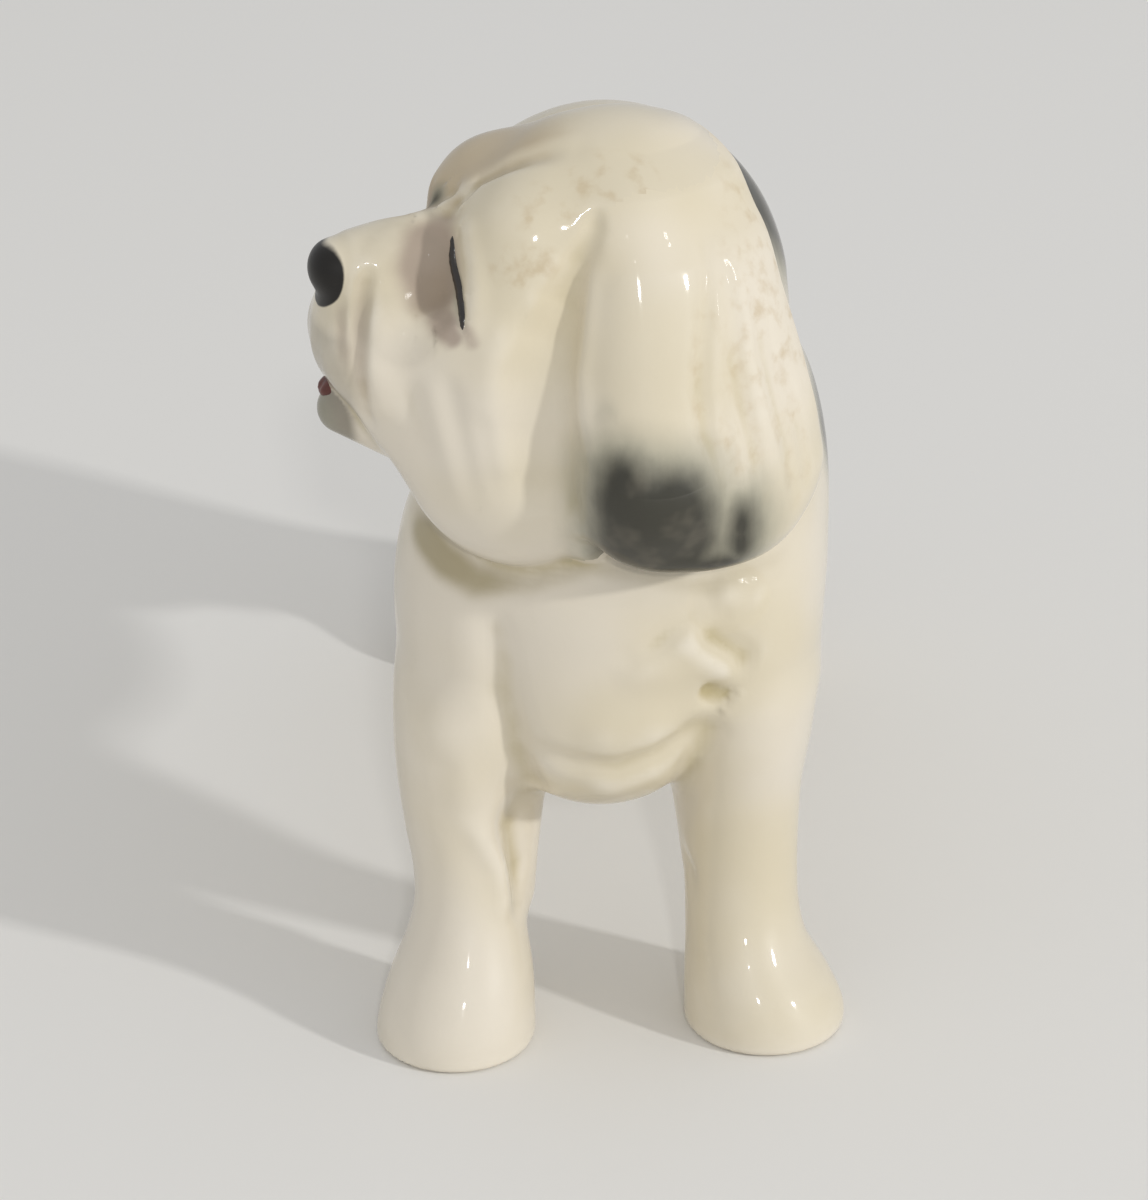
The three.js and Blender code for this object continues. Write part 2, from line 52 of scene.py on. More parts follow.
# Forelegs as stacks of oval sections: height, centre x, centre y, half width, half depth
RIGHT_FORELEG = [
    (0, -17.8, -57.4, 9.3, 9.9), (3, -17.6, -57.3, 9.1, 9.7), (7.6, -17, -55.8, 8.3, 9.2),
    (12, -16.4, -54.2, 7, 8.2), (16, -16.2, -53.4, 6.3, 7.2), (20, -16.4, -53, 6.2, 6.9),
    (25, -17, -52.8, 6.4, 7.2), (30, -17.2, -52.6, 6.9, 8.2), (37, -17, -52.2, 7.6, 9.6),
    (46, -16, -50, 8, 11),
]
LEFT_FORELEG = [
    (0, 18.3, -53.6, 9.4, 9.8), (2.5, 18.2, -53.5, 9.3, 9.7), (5.5, 17.5, -52.8, 8.6, 9.3),
    (10, 16.1, -51.2, 7.1, 8.4), (14, 15.6, -50.2, 6.65, 7.3), (18, 15.4, -49.8, 6.6, 6.9),
    (23, 15.2, -49.6, 6.8, 7.2), (29, 15, -49.6, 7.2, 8.2), (36, 15.2, -49.8, 7.6, 9.6),
    (46, 15.4, -49, 8, 11),
]
# What each side's foreleg is made of: its sections, the two ends of its tendon and the upper end's radius
FORELEGS = {
    -1: (RIGHT_FORELEG, (-11.5, -48.5, 40), (-11.6, -50, 16), 5.5),
    1: (LEFT_FORELEG, (11, -45.5, 42), (12.2, -46.5, 20), 6),
}
# Ears as stacks of the same kind
LEFT_EAR = [
    (61.5, 10.6, -67, 5, 3), (64.5, 10.2, -67.2, 8.6, 4.2), (67.8, 10, -66.8, 11.6, 5),
    (72, 10.4, -66.2, 12.9, 5.4), (76, 9.9, -65.4, 13, 5.6), (83, 8.8, -64.2, 12.5, 5.8),
    (92, 8, -61.8, 10.6, 5.8), (99.5, 7.2, -57.4, 8.8, 6), (104, 6.4, -53.4, 6.4, 5.6),
    (107.6, 5.4, -48.5, 3.6, 4),
]
# How far the left ear's hind edge turns and curls back from the middle of the ear
EAR_MIDDLE, EAR_TURN, EAR_CURL = 8, 0.22, 0.022
# The right ear leans back on the neck, so its sections are counted along the lean from its lower end
RIGHT_EAR_FOOT = (-5, -10, 80.5)
RIGHT_EAR_LEAN = math.radians(45)
RIGHT_EAR = [
    (0, 0, 0.5, 5, 3), (3, 0, -0.8, 8.4, 3.8), (7, 0.2, -2.8, 11, 4.3), (12, 0.6, -4.8, 11.9, 4.4),
    (18, 1.4, -6, 11.2, 4.5), (25, 2.4, -6, 9.4, 4.6), (31, 3.2, -4.8, 7.2, 4.6), (37, 3.8, -3, 4.4, 4),
]

# Heights of the joints of the legs, and how far back and above what height the tail begins
FORELEG_JOINT = 28.0
HIND_LEG_JOINT = 31.0
TAIL_JOINT, TAIL_FLOOR = 63.5, 55.0

# Strokes of the modelling tool. Each row is a point, then the stroke's width and its depth there; a
# negative depth raises a ridge. These are in the head's own directions: forward, left, up.
EYE_HOLLOW = [
    (15.1, 1, 6.7, 1.6, 0), (16.7, 2.3, 5.8, 2.2, 0.6), (18.6, 3.9, 4.2, 2.8, 1),
    (19.5, 5.4, 1.7, 3, 1.1), (19.5, 6.8, -0.6, 2.8, 1), (19.1, 9.3, -2.1, 2.2, 0.5),
    (18.8, 10.9, -3.5, 1.6, 0),
]
EYE_SLIT = [
    (16.7, 4.7, 4.7, 0.5, 0), (17.2, 5.6, 3.4, 0.6, 0.45), (17.5, 6.5, 1.9, 0.7, 0.7),
    (17.5, 7.9, 0.4, 0.75, 0.8), (17.6, 9.7, -1, 0.7, 0.6), (17.7, 11, -2.5, 0.6, 0.3),
    (17.7, 11.7, -3.6, 0.5, 0),
]
LID_RIDGE = [
    (14.3, 3.8, 7, 1.1, 0), (14.9, 6.5, 5.4, 1.2, -0.35), (15.2, 8.6, 3.1, 1.3, -0.45),
    (15.6, 10.2, 0.5, 1.3, -0.45), (16.7, 11.6, -2.4, 1.3, -0.3), (18, 12.6, -5.5, 1.3, 0),
]
LIP_CREASE = [
    (25.2, 3.9, 3.3, 0.8, 0), (26.5, 5, 1.1, 0.9, 0.7), (27.5, 6.1, -1.6, 1, 0.9),
    (28.4, 7.1, -4.7, 1, 0.9), (28.8, 7.4, -8.4, 0.9, 0.8), (28.7, 6.7, -12.8, 0.9, 0.5),
    (28, 6.1, -16.1, 0.8, 0),
]
LIP_FOLD = [
    (28.6, 4.2, 0.8, 0.8, 0), (29.5, 4.7, -1.8, 0.9, 0.3), (30, 6.2, -4.8, 0.9, 0.35),
    (29.8, 6.8, -8, 0.9, 0.2), (29.3, 6.4, -11.9, 0.9, 0),
]
LIP_SWELL = [
    (24.6, 5.2, 1.2, 2.2, 0), (26.2, 7, -2.8, 2.4, -0.5), (27, 8, -7.2, 2.4, -0.5),
    (27.1, 8.2, -11.5, 2.2, -0.3), (26.3, 8.5, -15.5, 2, 0),
]
CHEEK_FOLDS = [
    [(23.8, 9.5, -7.3, 1.5, 0), (24, 10.4, -11.1, 1.6, 0.3), (23.7, 11.1, -15.7, 1.6, 0.35),
     (23, 11.7, -20, 1.5, 0.2), (22.2, 11.9, -24.1, 1.5, 0)],
    [(20.2, 11.6, -6.3, 1.4, 0), (20.3, 12.9, -10.3, 1.5, 0.35), (20.1, 13.7, -14.3, 1.5, 0.4),
     (19.8, 14.2, -19.1, 1.5, 0.3), (19.3, 14, -25.1, 1.5, 0)],
    [(17.7, 14.4, -10.7, 1.3, 0), (17.6, 15, -14.7, 1.3, 0.22), (17.5, 15.3, -19, 1.3, 0.22),
     (17, 15.3, -23.6, 1.3, 0)],
    [(13.8, 12.5, -1.4, 2, 0), (15.2, 14.1, -6.2, 2.2, -0.4), (15.9, 15.2, -11.5, 2.2, -0.5),
     (16.3, 15.7, -17.3, 2.1, -0.4), (16.5, 15.5, -23.7, 2, 0)],
]
CHEEK_HOLLOW = [
    (1.3, 10.7, 7.7, 0.8, 0), (2.6, 12.2, 5.2, 1.1, 1.2), (4.5, 12.9, 1.7, 1.6, 1.8),
    (6.7, 13.8, -2, 2.3, 2.2), (8.9, 14.9, -5.6, 3.1, 2.5), (11, 16, -9.8, 3.8, 2.6),
    (12.3, 16.5, -14.4, 4.2, 2.4), (12.5, 16.8, -19.5, 4, 1.7), (11.9, 16.4, -25.2, 3.4, 0),
]
BROW_FURROW = [
    (13.9, 1.8, 7.4, 0.8, 0.2), (11.9, 1.1, 8.5, 0.9, 0.8), (9.3, 2.3, 10, 1, 0.9),
    (5.9, 3.5, 11, 1.2, 0.6), (2.3, 4.8, 11.3, 1.5, 0.2), (-0.6, 5.7, 11.1, 2, 0),
]
BROW_TO_EYE = [
    (13.9, 1.8, 7.4, 0.9, 0.3), (14.9, 1.3, 6.8, 1, 0.8), (15.9, 1.6, 6.3, 1.1, 0.6),
    (16.8, 2.7, 5.6, 1.1, 0),
]
# The lower part of the brown wash in the hollow, painted only
EYE_WASH = [
    (20, 5.6, 0.8, 1.6, 0.3), (19.9, 7.6, -1.3, 1.8, 0.8), (19.5, 9.9, -2.8, 1.7, 1),
    (18.8, 11.5, -4.2, 1.3, 0.7), (18.3, 12.4, -5.3, 1, 0),
]
# A dark smear of paint below the outer end of the slit
EYE_SMEAR = [
    (17.6, 10.9, -2.3, 1.2, 0.5), (17.3, 11.8, -3.4, 1.4, 1), (17.1, 12.6, -4.5, 1.5, 0.9),
    (17, 13.2, -5.9, 1.4, 0),
]
# The strokes that both sides of the face have
FACE_STROKES = [EYE_HOLLOW, EYE_SLIT, LID_RIDGE, LIP_CREASE, LIP_FOLD, LIP_SWELL, CHEEK_HOLLOW]
FACE_STROKES += [*CHEEK_FOLDS, BROW_TO_EYE]

# Locks of the left ear: x, y, z, width, depth
EAR_STROKES = [
    [(9.4, -62.2, 100.9, 1.1, 0), (10, -64.2, 97.6, 1.2, 0.35), (10.1, -66, 94.3, 1.2, 0.42),
     (9.7, -68.1, 90.2, 1.1, 0.49), (9.4, -69.8, 85.2, 1.1, 0.7), (10.1, -70.6, 80.7, 1.1, 0.7),
     (11.8, -70.6, 75.4, 1.1, 0.28), (12.4, -70.6, 71.6, 1, 0)],
    [(11.1, -62.1, 99.3, 1.1, 0), (12.3, -64.2, 95.2, 1.2, 0.42), (13.2, -65.3, 91.6, 1.2, 0.56),
     (13.1, -66.9, 87.4, 1.2, 0.7), (14, -67.4, 82.7, 1.2, 0.77), (15.3, -67.5, 77.4, 1.2, 0.63),
     (16.3, -67.6, 72.1, 1.1, 0.28), (16.6, -67.5, 68.7, 1, 0)],
    [(14.8, -61.9, 95.2, 1.1, 0), (15.6, -63.1, 91.6, 1.2, 0.49), (16.4, -64.2, 87.1, 1.2, 0.7),
     (17.6, -64.4, 82.3, 1.2, 0.77), (19, -64.1, 77.2, 1.2, 0.7), (19.8, -64.2, 72.3, 1.2, 0.42),
     (19.9, -63.8, 67.9, 1, 0)],
    [(18, -62.5, 86.5, 1.1, 0), (18.9, -62.8, 82.5, 1.1, 0.49), (20.3, -62.3, 77.8, 1.1, 0.56),
     (21.1, -62.4, 73.2, 1.1, 0.42), (21.1, -62.4, 69.5, 1, 0)],
    [(12.9, -67.8, 84.4, 1, 0), (12.3, -69, 80.8, 1, 0.25), (13.1, -69.1, 76.8, 1, 0.3),
     (14.2, -69.1, 73.1, 1, 0)],
    [(-1.9, -65.8, 100.6, 1, 0), (-2.4, -66.5, 96, 1.2, -0.35), (-2.8, -67.9, 90.9, 1.3, -0.45),
     (-3.4, -68.9, 86.5, 1.3, -0.5), (-3, -69.9, 82, 1.3, -0.45), (-1.9, -71.4, 77.7, 1.3, -0.3),
     (-1.2, -72.6, 74.1, 1.2, 0)],
]

# The crease below the cheek and the ear: x, y, z, width, depth
THROAT_CREASE = [
    (-25, -52, 78, 3, 0), (-24, -56, 74, 3, 1.5), (-21.5, -62, 67.5, 3, 2.2), (-15, -66.5, 62.5, 3, 2.4),
    (-7, -68.5, 61.5, 3, 2.4), (1, -68.5, 61, 3, 2.2), (9, -68, 58.5, 3, 2.2), (17, -65, 60.5, 3, 2.2),
    (24, -60, 66, 3, 1.5), (25, -54, 74, 3, 0),
]
# Painted shadow on the trunk just below the head's rim, together with glaze that has run together there;
# painted only
UNDER_RIM = [
    (-22.5, -48, 62.3, 2.2, 0.3), (-20.5, -54, 61.6, 2.4, 1), (-18.3, -57.4, 60.2, 2.4, 1),
    (-14.8, -59.9, 58.8, 2.4, 0.8), (-9, -62.2, 59.4, 1.8, 0.5), (-2, -63.3, 62.2, 1.8, 0.5),
    (4, -63.4, 60.8, 1.8, 0.4), (11, -61.5, 58.7, 1.8, 0.4), (18, -57.5, 60.4, 1.8, 0.3),
    (22, -52, 61.6, 1.8, 0),
]
# Folds and tufts of the coat on the chest and the forelegs
CHEST_STROKES = [
    [(-13.5, -60.9, 57.5, 2, 0), (-12.6, -61.8, 52.7, 2, 0.7), (-11.9, -61.7, 46.7, 2, 0.9),
     (-10.4, -61.4, 39.5, 1.9, 0.9), (-8.7, -59.3, 34, 1.8, 0.7), (-7.2, -57.2, 31.2, 1.6, 0)],
    [(-10.4, -61.6, 40.2, 1.4, 0), (-7.4, -62.7, 39.1, 1.5, 0.5), (-3.1, -63.6, 37.8, 1.6, 0.8),
     (1.1, -63.5, 37.5, 1.6, 0.9), (4.9, -62.8, 38.5, 1.6, 0.9), (8.4, -61.5, 40.2, 1.5, 0.7),
     (9.9, -61.5, 43.7, 1.4, 0)],
    [(-4.8, -64.1, 42.3, 2.4, 0), (0, -64.4, 41.4, 2.6, -0.5), (4.3, -63.7, 41.9, 2.6, -0.5),
     (8.1, -62.4, 43.5, 2.2, 0)],
    [(-4.2, -62.2, 35.1, 2.2, 0), (0.1, -62, 34.3, 2.4, -0.5), (4.4, -61.8, 35.8, 2.2, -0.3),
     (7.1, -61.4, 37.7, 2, 0)],
    [(-0.5, -64.8, 49.7, 2.4, 0), (3.7, -64.5, 50.3, 2.7, -0.6), (8.5, -62.9, 49.6, 2.7, -0.6),
     (11.8, -61.5, 47.2, 2.2, 0)],
    [(5.5, -64.3, 54.4, 1.7, 0), (9, -63, 52.2, 1.9, -0.8), (12, -61.8, 49.3, 1.9, -0.9),
     (14.2, -61, 46.9, 1.5, 0)],
    [(9.4, -62, 45.4, 1.1, 0), (11, -61.4, 45.7, 1.3, 0.9), (12.8, -61, 45.1, 1.3, 0.7),
     (13.7, -60.9, 44.3, 1.1, 0)],
    [(8.5, -63.2, 54.9, 1.5, 0), (11.4, -62.2, 52.5, 1.8, 0.8), (14.7, -61.2, 50.2, 1.9, 0.8),
     (17.1, -60.4, 49.4, 1.7, 0)],
    [(10.6, -62.1, 56.8, 1.7, 0), (13, -61, 57.7, 2, -0.7), (15.7, -60.1, 57, 2, -0.5),
     (17.3, -59.8, 55.2, 1.8, 0)],
    [(-0.5, -64.9, 50.7, 1.4, 0), (2.7, -64.7, 51.6, 1.6, 0.4), (5.8, -64.2, 53.5, 1.6, 0.5),
     (8.7, -63.1, 55.3, 1.5, 0.3), (10.6, -61.9, 57.9, 1.4, 0)],
    [(12.1, -61, 43.7, 1.9, 0), (10.8, -60.4, 40.2, 2.2, 0.8), (9.6, -59, 35.9, 2.2, 0.7),
     (9, -54.4, 29.4, 2, 0.4), (8.3, -50.1, 22.9, 2, 0)],
    [(8.2, -49.3, 22, 1.5, 0), (9.3, -52.6, 19.2, 1.4, 0.43), (9.8, -53.7, 14.7, 1.2, 0)],
    [(-12.5, -58.9, 31.4, 1.7, 0), (-11.1, -55.8, 25.8, 1.8, 1.16), (-10.4, -54.9, 20.8, 1.7, 1.16),
     (-10.4, -56, 16.4, 1.5, 0.51), (-10.5, -57.6, 13.6, 1.3, 0)],
    [(-16.3, -60.8, 30.6, 1.6, 0), (-14.4, -59.5, 26.4, 1.5, -0.51), (-12.7, -58.3, 22.2, 1.4, -0.65),
     (-12.1, -58.3, 18.1, 1.4, -0.43), (-12.2, -59.5, 14.6, 1.4, 0)],
    [(-20.1, -60.7, 39.8, 2.5, 0), (-19, -61.4, 35.8, 2.5, 0.43), (-19.1, -60.7, 31, 2.5, 0.43),
     (-19.7, -59.4, 25.9, 2.4, 0)],
]

# Locks of the coat on the sides, the same on both: x, y, z, width, depth
SIDE_STROKES = [
    [(22, 30, 56, 1.6, 0), (23.7, 35.6, 49.9, 1.8, 0.5), (23.4, 42.1, 43.6, 1.8, 0.6),
     (21.9, 47.4, 37.8, 1.6, 0.4), (20, 51.3, 32.8, 1.4, 0)],
    [(23.7, 37.9, 60.1, 1.6, 0), (24, 45.5, 54, 1.8, 0.5), (21.5, 51.2, 46.9, 1.8, 0.6),
     (18.8, 54.8, 40, 1.6, 0.4), (16.6, 56.3, 34, 1.4, 0)],
    [(19.6, 26.3, 46, 1.5, 0), (22.5, 29.7, 41.6, 1.7, 0.4), (23.6, 35.9, 35.3, 1.7, 0.5),
     (22.6, 41.1, 29.9, 1.5, 0)],
    [(17, 55.8, 59.7, 1.5, 0), (14.9, 58, 53, 1.7, 0.5), (12.6, 58.2, 45.3, 1.7, 0.5),
     (12.1, 57.1, 38.2, 1.5, 0)],
    [(19.9, -22, 48.7, 1.6, 0), (18.2, -15.5, 44.5, 1.8, 0.45), (15.2, -9.7, 40.2, 1.7, 0.5),
     (11.7, -4.9, 37.5, 1.5, 0)],
    [(21.7, -8, 48.1, 1.6, 0), (18.8, -2, 43, 1.8, 0.45), (15.3, 3.8, 40.1, 1.7, 0.5),
     (11.7, 8.6, 38.4, 1.5, 0)],
    [(22, 8, 50, 1.6, 0), (18.2, 13.5, 45.3, 1.8, 0.45), (14.2, 20.7, 42.7, 1.7, 0.5),
     (12.9, 23.7, 37.3, 1.5, 0)],
    [(25.4, -34, 62.1, 1.8, 0), (24.3, -30, 54.9, 2, 0.4), (20.5, -28.5, 48, 2, 0.5),
     (17.2, -31.9, 39.5, 1.7, 0)],
    [(23.5, -52.5, 44.1, 1.6, 0), (23.3, -47.9, 35.6, 1.7, 0.4), (20.2, -43.1, 29.4, 1.6, 0)],
]
# Locks of the right ear, along its lean
RIGHT_EAR_STROKES = [
    [(3, -1.6, 30, 1.2, 0), (1.4, -1.5, 23, 1.4, 0.5), (0.4, -0.9, 14, 1.4, 0.6), (-0.4, 1, 7, 1.3, 0.4),
     (-1, 2.6, 3, 1, 0)],
    [(5, -1.9, 28, 1.2, 0), (5.4, -2.2, 20, 1.4, 0.5), (5.4, -1.3, 12, 1.4, 0.6), (4.6, 1, 6, 1.2, 0)],
    [(0, -1.9, 28, 1.2, 0), (-3.2, -2.3, 20, 1.4, 0.5), (-4.8, -1.3, 12, 1.4, 0.6), (-4.8, 1, 6, 1.2, 0)],
]


def head_directions():
    """Forward, left and up of the turned head, as three rows."""
    yaw, pitch, roll = (math.radians(a) for a in (YAW, PITCH, ROLL))
    level_forward = math.cos(pitch)
    forward = np.array((-math.sin(yaw) * level_forward, -math.cos(yaw) * level_forward, -math.sin(pitch)))
    level = np.array((math.cos(yaw), -math.sin(yaw), 0.0))
    raised = np.cross(forward, level)
    left = math.cos(roll) * level - math.sin(roll) * raised
    up = math.cos(roll) * raised + math.sin(roll) * level
    return np.array((forward, left, up))


HEAD_DIRECTIONS = head_directions()


def to_head(p):
    """Points in the head's own directions, measured from its centre."""
    return (p - HEAD.astype(p.dtype)) @ HEAD_DIRECTIONS.T.astype(p.dtype)


def on_side(h, side):
    """Points in the head's directions, with left and right swapped where side is -1."""
    return h * np.array((1, side, 1), h.dtype)


def mirrored(p):
    """Points with the right side laid over the left one."""
    return np.concatenate([np.abs(p[:, :1]), p[:, 1:]], 1)


# A field is a number for every point: about its distance from the surface in mm, negative inside
FAR = 12.0


def rising(values, start, width):
    """0 up to start and 1 from start + width on, with a straight slope between them."""
    return np.clip((values - start) / width, 0, 1)


def soft_min(a, b, k):
    """Joins two fields with a fillet about as wide as k."""
    h = np.clip(0.5 + 0.5 * (b - a) / k, 0.0, 1.0)
    return b + (a - b) * h - k * h * (1.0 - h)


def joined(first, *others):
    """Joins fields one by one. Each after the first comes with the width of its fillet."""
    for field, fillet in others:
        first = soft_min(first, field, fillet)
    return first


def soft_max(a, b, k):
    return -soft_min(-a, -b, k)


def ellipsoid(p, centre, radii):
    q = p - np.array(centre, p.dtype)
    r = np.array(radii, p.dtype)
    a = np.sqrt(np.sum((q / r) ** 2, axis=1)) + 1e-9
    b = np.sqrt(np.sum((q / (r * r)) ** 2, axis=1)) + 1e-9
    return a * (a - 1.0) / b


def limb(p, start, end, start_radius, end_radius):
    """A round cone with ball ends."""
    start = np.array(start, p.dtype)
    along = np.array(end, p.dtype) - start
    length2 = float(along @ along)
    taper = start_radius - end_radius
    side2 = length2 - taper * taper
    q = p - start
    y = q @ along
    z = y - length2
    x2 = np.sum((q * length2 - np.outer(y, along)) ** 2, axis=1)
    y2 = y * y * length2
    z2 = z * z * length2
    k = math.copysign(1.0, taper) * taper * taper * x2
    at_end = np.sqrt(x2 + z2) / length2 - end_radius
    at_start = np.sqrt(x2 + y2) / length2 - start_radius
    beside = (np.sqrt(x2 * side2 / length2) + y * taper) / length2 - start_radius
    inner = np.where(np.sign(y) * side2 * y2 < k, at_start, beside)
    return np.where(np.sign(z) * side2 * z2 > k, at_end, inner)


def eased(z, rows, column):
    """One column of a table of sections at the heights z, on a smooth curve."""
    table = np.array(rows, float)
    t, v = table[:, 0], table[:, column]
    slope = np.gradient(v, t)
    i = np.clip(np.searchsorted(t, z) - 1, 0, len(t) - 2)
    step = t[i + 1] - t[i]
    u = np.clip((z - t[i]) / step, 0, 1)
    start = (1 + 2 * u) * (1 - u) ** 2 * v[i] + u * (1 - u) ** 2 * step * slope[i]
    end = u * u * (3 - 2 * u) * v[i + 1] + u * u * (u - 1) * step * slope[i + 1]
    return (start + end).astype(z.dtype)


# How softly a stack of sections ends above and below, and how steep its field is beside it
STACK_TOP_EDGE, STACK_BOTTOM_EDGE, STACK_SLOPE = 4.0, 3.0, 0.9


def stack(p, rows, bottom, top):
    """Oval sections stacked along z between bottom and top."""
    z = p[:, 2]
    x = p[:, 0] - eased(z, rows, 1)
    y = p[:, 1] - eased(z, rows, 2)
    rx, ry = eased(z, rows, 3), eased(z, rows, 4)
    a = np.sqrt((x / rx) ** 2 + (y / ry) ** 2) + 1e-6
    b = np.sqrt((x / rx**2) ** 2 + (y / ry**2) ** 2) + 1e-6
    d = soft_max(a * (a - 1) / b * STACK_SLOPE, z - top, STACK_TOP_EDGE)
    return soft_max(d, bottom - z, STACK_BOTTOM_EDGE)


def stroke(p, rows):
    """How deep one stroke cuts at each point."""
    rows = np.array(rows, p.dtype)
    at, width, depth = rows[:, :3], rows[:, 3], rows[:, 4]
    cut = np.zeros(len(p), p.dtype)
    nearest = np.full(len(p), 1e9, p.dtype)
    for i in range(len(at) - 1):
        along = at[i + 1] - at[i]
        t = np.clip(((p - at[i]) @ along) / float(along @ along), 0, 1)
        d = p - at[i] - t[:, None] * along
        t = t * t * (3 - 2 * t)
        w = width[i] + t * (width[i + 1] - width[i])
        d2 = np.sum(d * d, 1) / (w * w)
        near = d2 < nearest
        nearest = np.where(near, d2, nearest)
        cut = np.where(near, (depth[i] + t * (depth[i + 1] - depth[i])) * np.exp(-d2), cut)
    return cut


def in_box(p, low, high):
    """The numbers of the points that lie in a box."""
    return np.flatnonzero(np.all((p > low) & (p < high), axis=1))


# A stroke has faded out at this many times its width
STROKE_REACH = 2.6


def strokes(p, lines):
    """The sum of several strokes, each worked out only near its own line."""
    out = np.zeros(len(p), p.dtype)
    for line in lines:
        rows = np.array(line)
        reach = STROKE_REACH * rows[:, 3].max()
        near = in_box(p, rows[:, :3].min(0) - reach, rows[:, :3].max(0) + reach)
        if len(near):
            out[near] += stroke(p[near], rows)
    return out


def shade(p, lines, spread=1.0):
    """1 where any of the strokes is deepest, fading to 0 beside it and at its ends."""
    out = np.zeros(len(p), p.dtype)
    for line in lines:
        rows = np.array(line, float)
        rows[:, 3] *= spread
        deepest = rows[np.argmax(np.abs(rows[:, 4])), 4]
        out = np.maximum(out, stroke(p, rows) / deepest)
    return out


def within(p, low, high, field):
    """A field worked out only inside a box, and FAR outside it."""
    out = np.full(len(p), FAR, p.dtype)
    near = in_box(p, np.array(low), np.array(high))
    if len(near):
        out[near] = field(p[near])
    return out


def trunk_field(p):
    both = mirrored(p)
    return joined(
        ellipsoid(p, (0, -42, 54), (22.5, 23, 24)),  # chest
        (ellipsoid(p, (0, -2, 57), (24, 40, 22.4)), 9),  # ribs
        (ellipsoid(p, (0, 41, 57), (24, 21, 24.6)), 11),  # rump
        (limb(p, (0, -24, 66), (0, 38, 66.5), 13, 13.4), 5),  # back
        (ellipsoid(both, (13, 41, 44), (9.5, 15.5, 19)), 7),  # thighs
        (ellipsoid(both, (15.5, -46, 48), (8.4, 14, 20)), 6),  # shoulders
        (ellipsoid(p, (14.5, -38, 60), (9.6, 15, 14)), 5),  # left shoulder, drawn forward
        (ellipsoid(p, (15.2, -28, 64), (9.6, 18, 15)), 5),  # left shoulder blade
        (ellipsoid(p, (-1, -53, 43), (14, 11.5, 14.2)), 3),  # breast
        (limb(p, (1, -36, 68), (2, -48, 90), 17, 12), 7),  # neck
    )


def foreleg_field(p, side):
    """A stack of sections with a tendon behind it."""
    sections, upper, lower, radius = FORELEGS[side]
    return soft_min(stack(p, sections, -9, 44), limb(p, upper, lower, radius, 2.9), 3)


def hind_leg_field(p, side):
    return joined(
        limb(p, (side * 14.5, 34, 38), (side * 15, 53, 20), 9, 5.4),  # upper leg
        (limb(p, (side * 15, 53, 20), (side * 16, 51, 7), 5.6, 6.2), 5),  # shank
        (ellipsoid(p, (side * 16.5, 49, 3.4), (8.8, 10.4, 7.2)), 4),  # paw
        (limb(p, (side * 14, 50, 38), (side * 14.5, 56.5, 24), 5.4, 2.6), 5),  # tendon
    )


def tail_field(p):
    return limb(p, (0, 56, 66), (0, 68, 69.5), 5.2, 3.6)


def skull_field(p):
    """Skull, brows, muzzle, hanging lips, cheeks and throat, without the fine strokes."""
    h = to_head(p)
    both = np.stack([h[:, 0], np.abs(h[:, 1]), h[:, 2]], 1)
    return joined(
        ellipsoid(h, (0, 0, 1.2), (14.5, 11.4, 11.3)),  # skull
        (ellipsoid(h, (8, 5.3, 1.6), (8, 6.3, 7.5)), 3.5),  # left brow
        (ellipsoid(h, (8.6, -5.5, 2.6), (7.8, 6, 7.5)), 2.5),  # right brow
        (limb(h, (12, 0, 0.2), (25.7, 0, -0.1), 6.1, 5.1), 4),  # bridge of the nose
        (ellipsoid(both, (24.2, 4, -7.5), (7.6, 4.2, 7.2)), 3),  # upper lips
        (ellipsoid(both, (21.6, 4.2, -11.4), (7.8, 4.3, 8.2)), 2),  # their hanging lower ends
        (ellipsoid(h, (25.6, 0, -7.4), (6.8, 6, 7.6)), 2),  # front of the lips
        (ellipsoid(both, (8, 8.2, -10), (13, 6.2, 12)), 5),  # cheeks
        (ellipsoid(p, (-9.5, -60.4, 77.2), (13.8, 8.6, 16)), 6),  # folded jowl
        (ellipsoid(p, (-1, -58.8, 75), (9, 7.2, 9.4)), 4),  # its end below the ear
        (ellipsoid(h, (10, -4.5, -16.5), (12, 7.5, 14.5)), 6),  # throat
    )


def nose_field(p):
    return ellipsoid(to_head(p), (28.5, 0, 1.3), (3.0, 3.6, 3.3))


def jaw_field(p):
    h = to_head(p)
    d = limb(h, (20, 0, -21.0), (30.0, 0, -15.4), 5.0, 2.9)
    return soft_min(d, limb(h, (12, 0, -24.0), (20, 0, -21.0), 4.8, 5.0), 1)


def left_ear_field(p):
    x = p[:, 0] - EAR_MIDDLE
    back = EAR_TURN * x + EAR_CURL * np.maximum(x, 0) ** 2
    turned = np.stack([p[:, 0], p[:, 1] - back, p[:, 2]], 1).astype(p.dtype)
    front_edge = limb(p, (2.0, -60.8, 98), (4.4, -68.2, 73.4), 5.6, 6.6)
    return soft_min(stack(turned, LEFT_EAR, 63.6, 107), front_edge, 4)


def right_ear_field(p):
    q = p - np.array(RIGHT_EAR_FOOT, p.dtype)
    c, s = math.cos(RIGHT_EAR_LEAN), math.sin(RIGHT_EAR_LEAN)
    leaned = np.stack([q[:, 0], s * q[:, 2] + c * q[:, 1], c * q[:, 2] - s * q[:, 1]], 1)
    leaned = leaned.astype(p.dtype)
    return stack(leaned, RIGHT_EAR, 2, 37) + strokes(leaned, RIGHT_EAR_STROKES)


def face_field(p):
    """The head with its nose, its jaw and the strokes of the face."""
    h = to_head(p)
    d = skull_field(p) + strokes(h, FACE_STROKES + [BROW_FURROW])
    d = d + strokes(on_side(h, -1), FACE_STROKES)
    return joined(d, (jaw_field(p), JAW_FILLET), (nose_field(p), NOSE_FILLET))


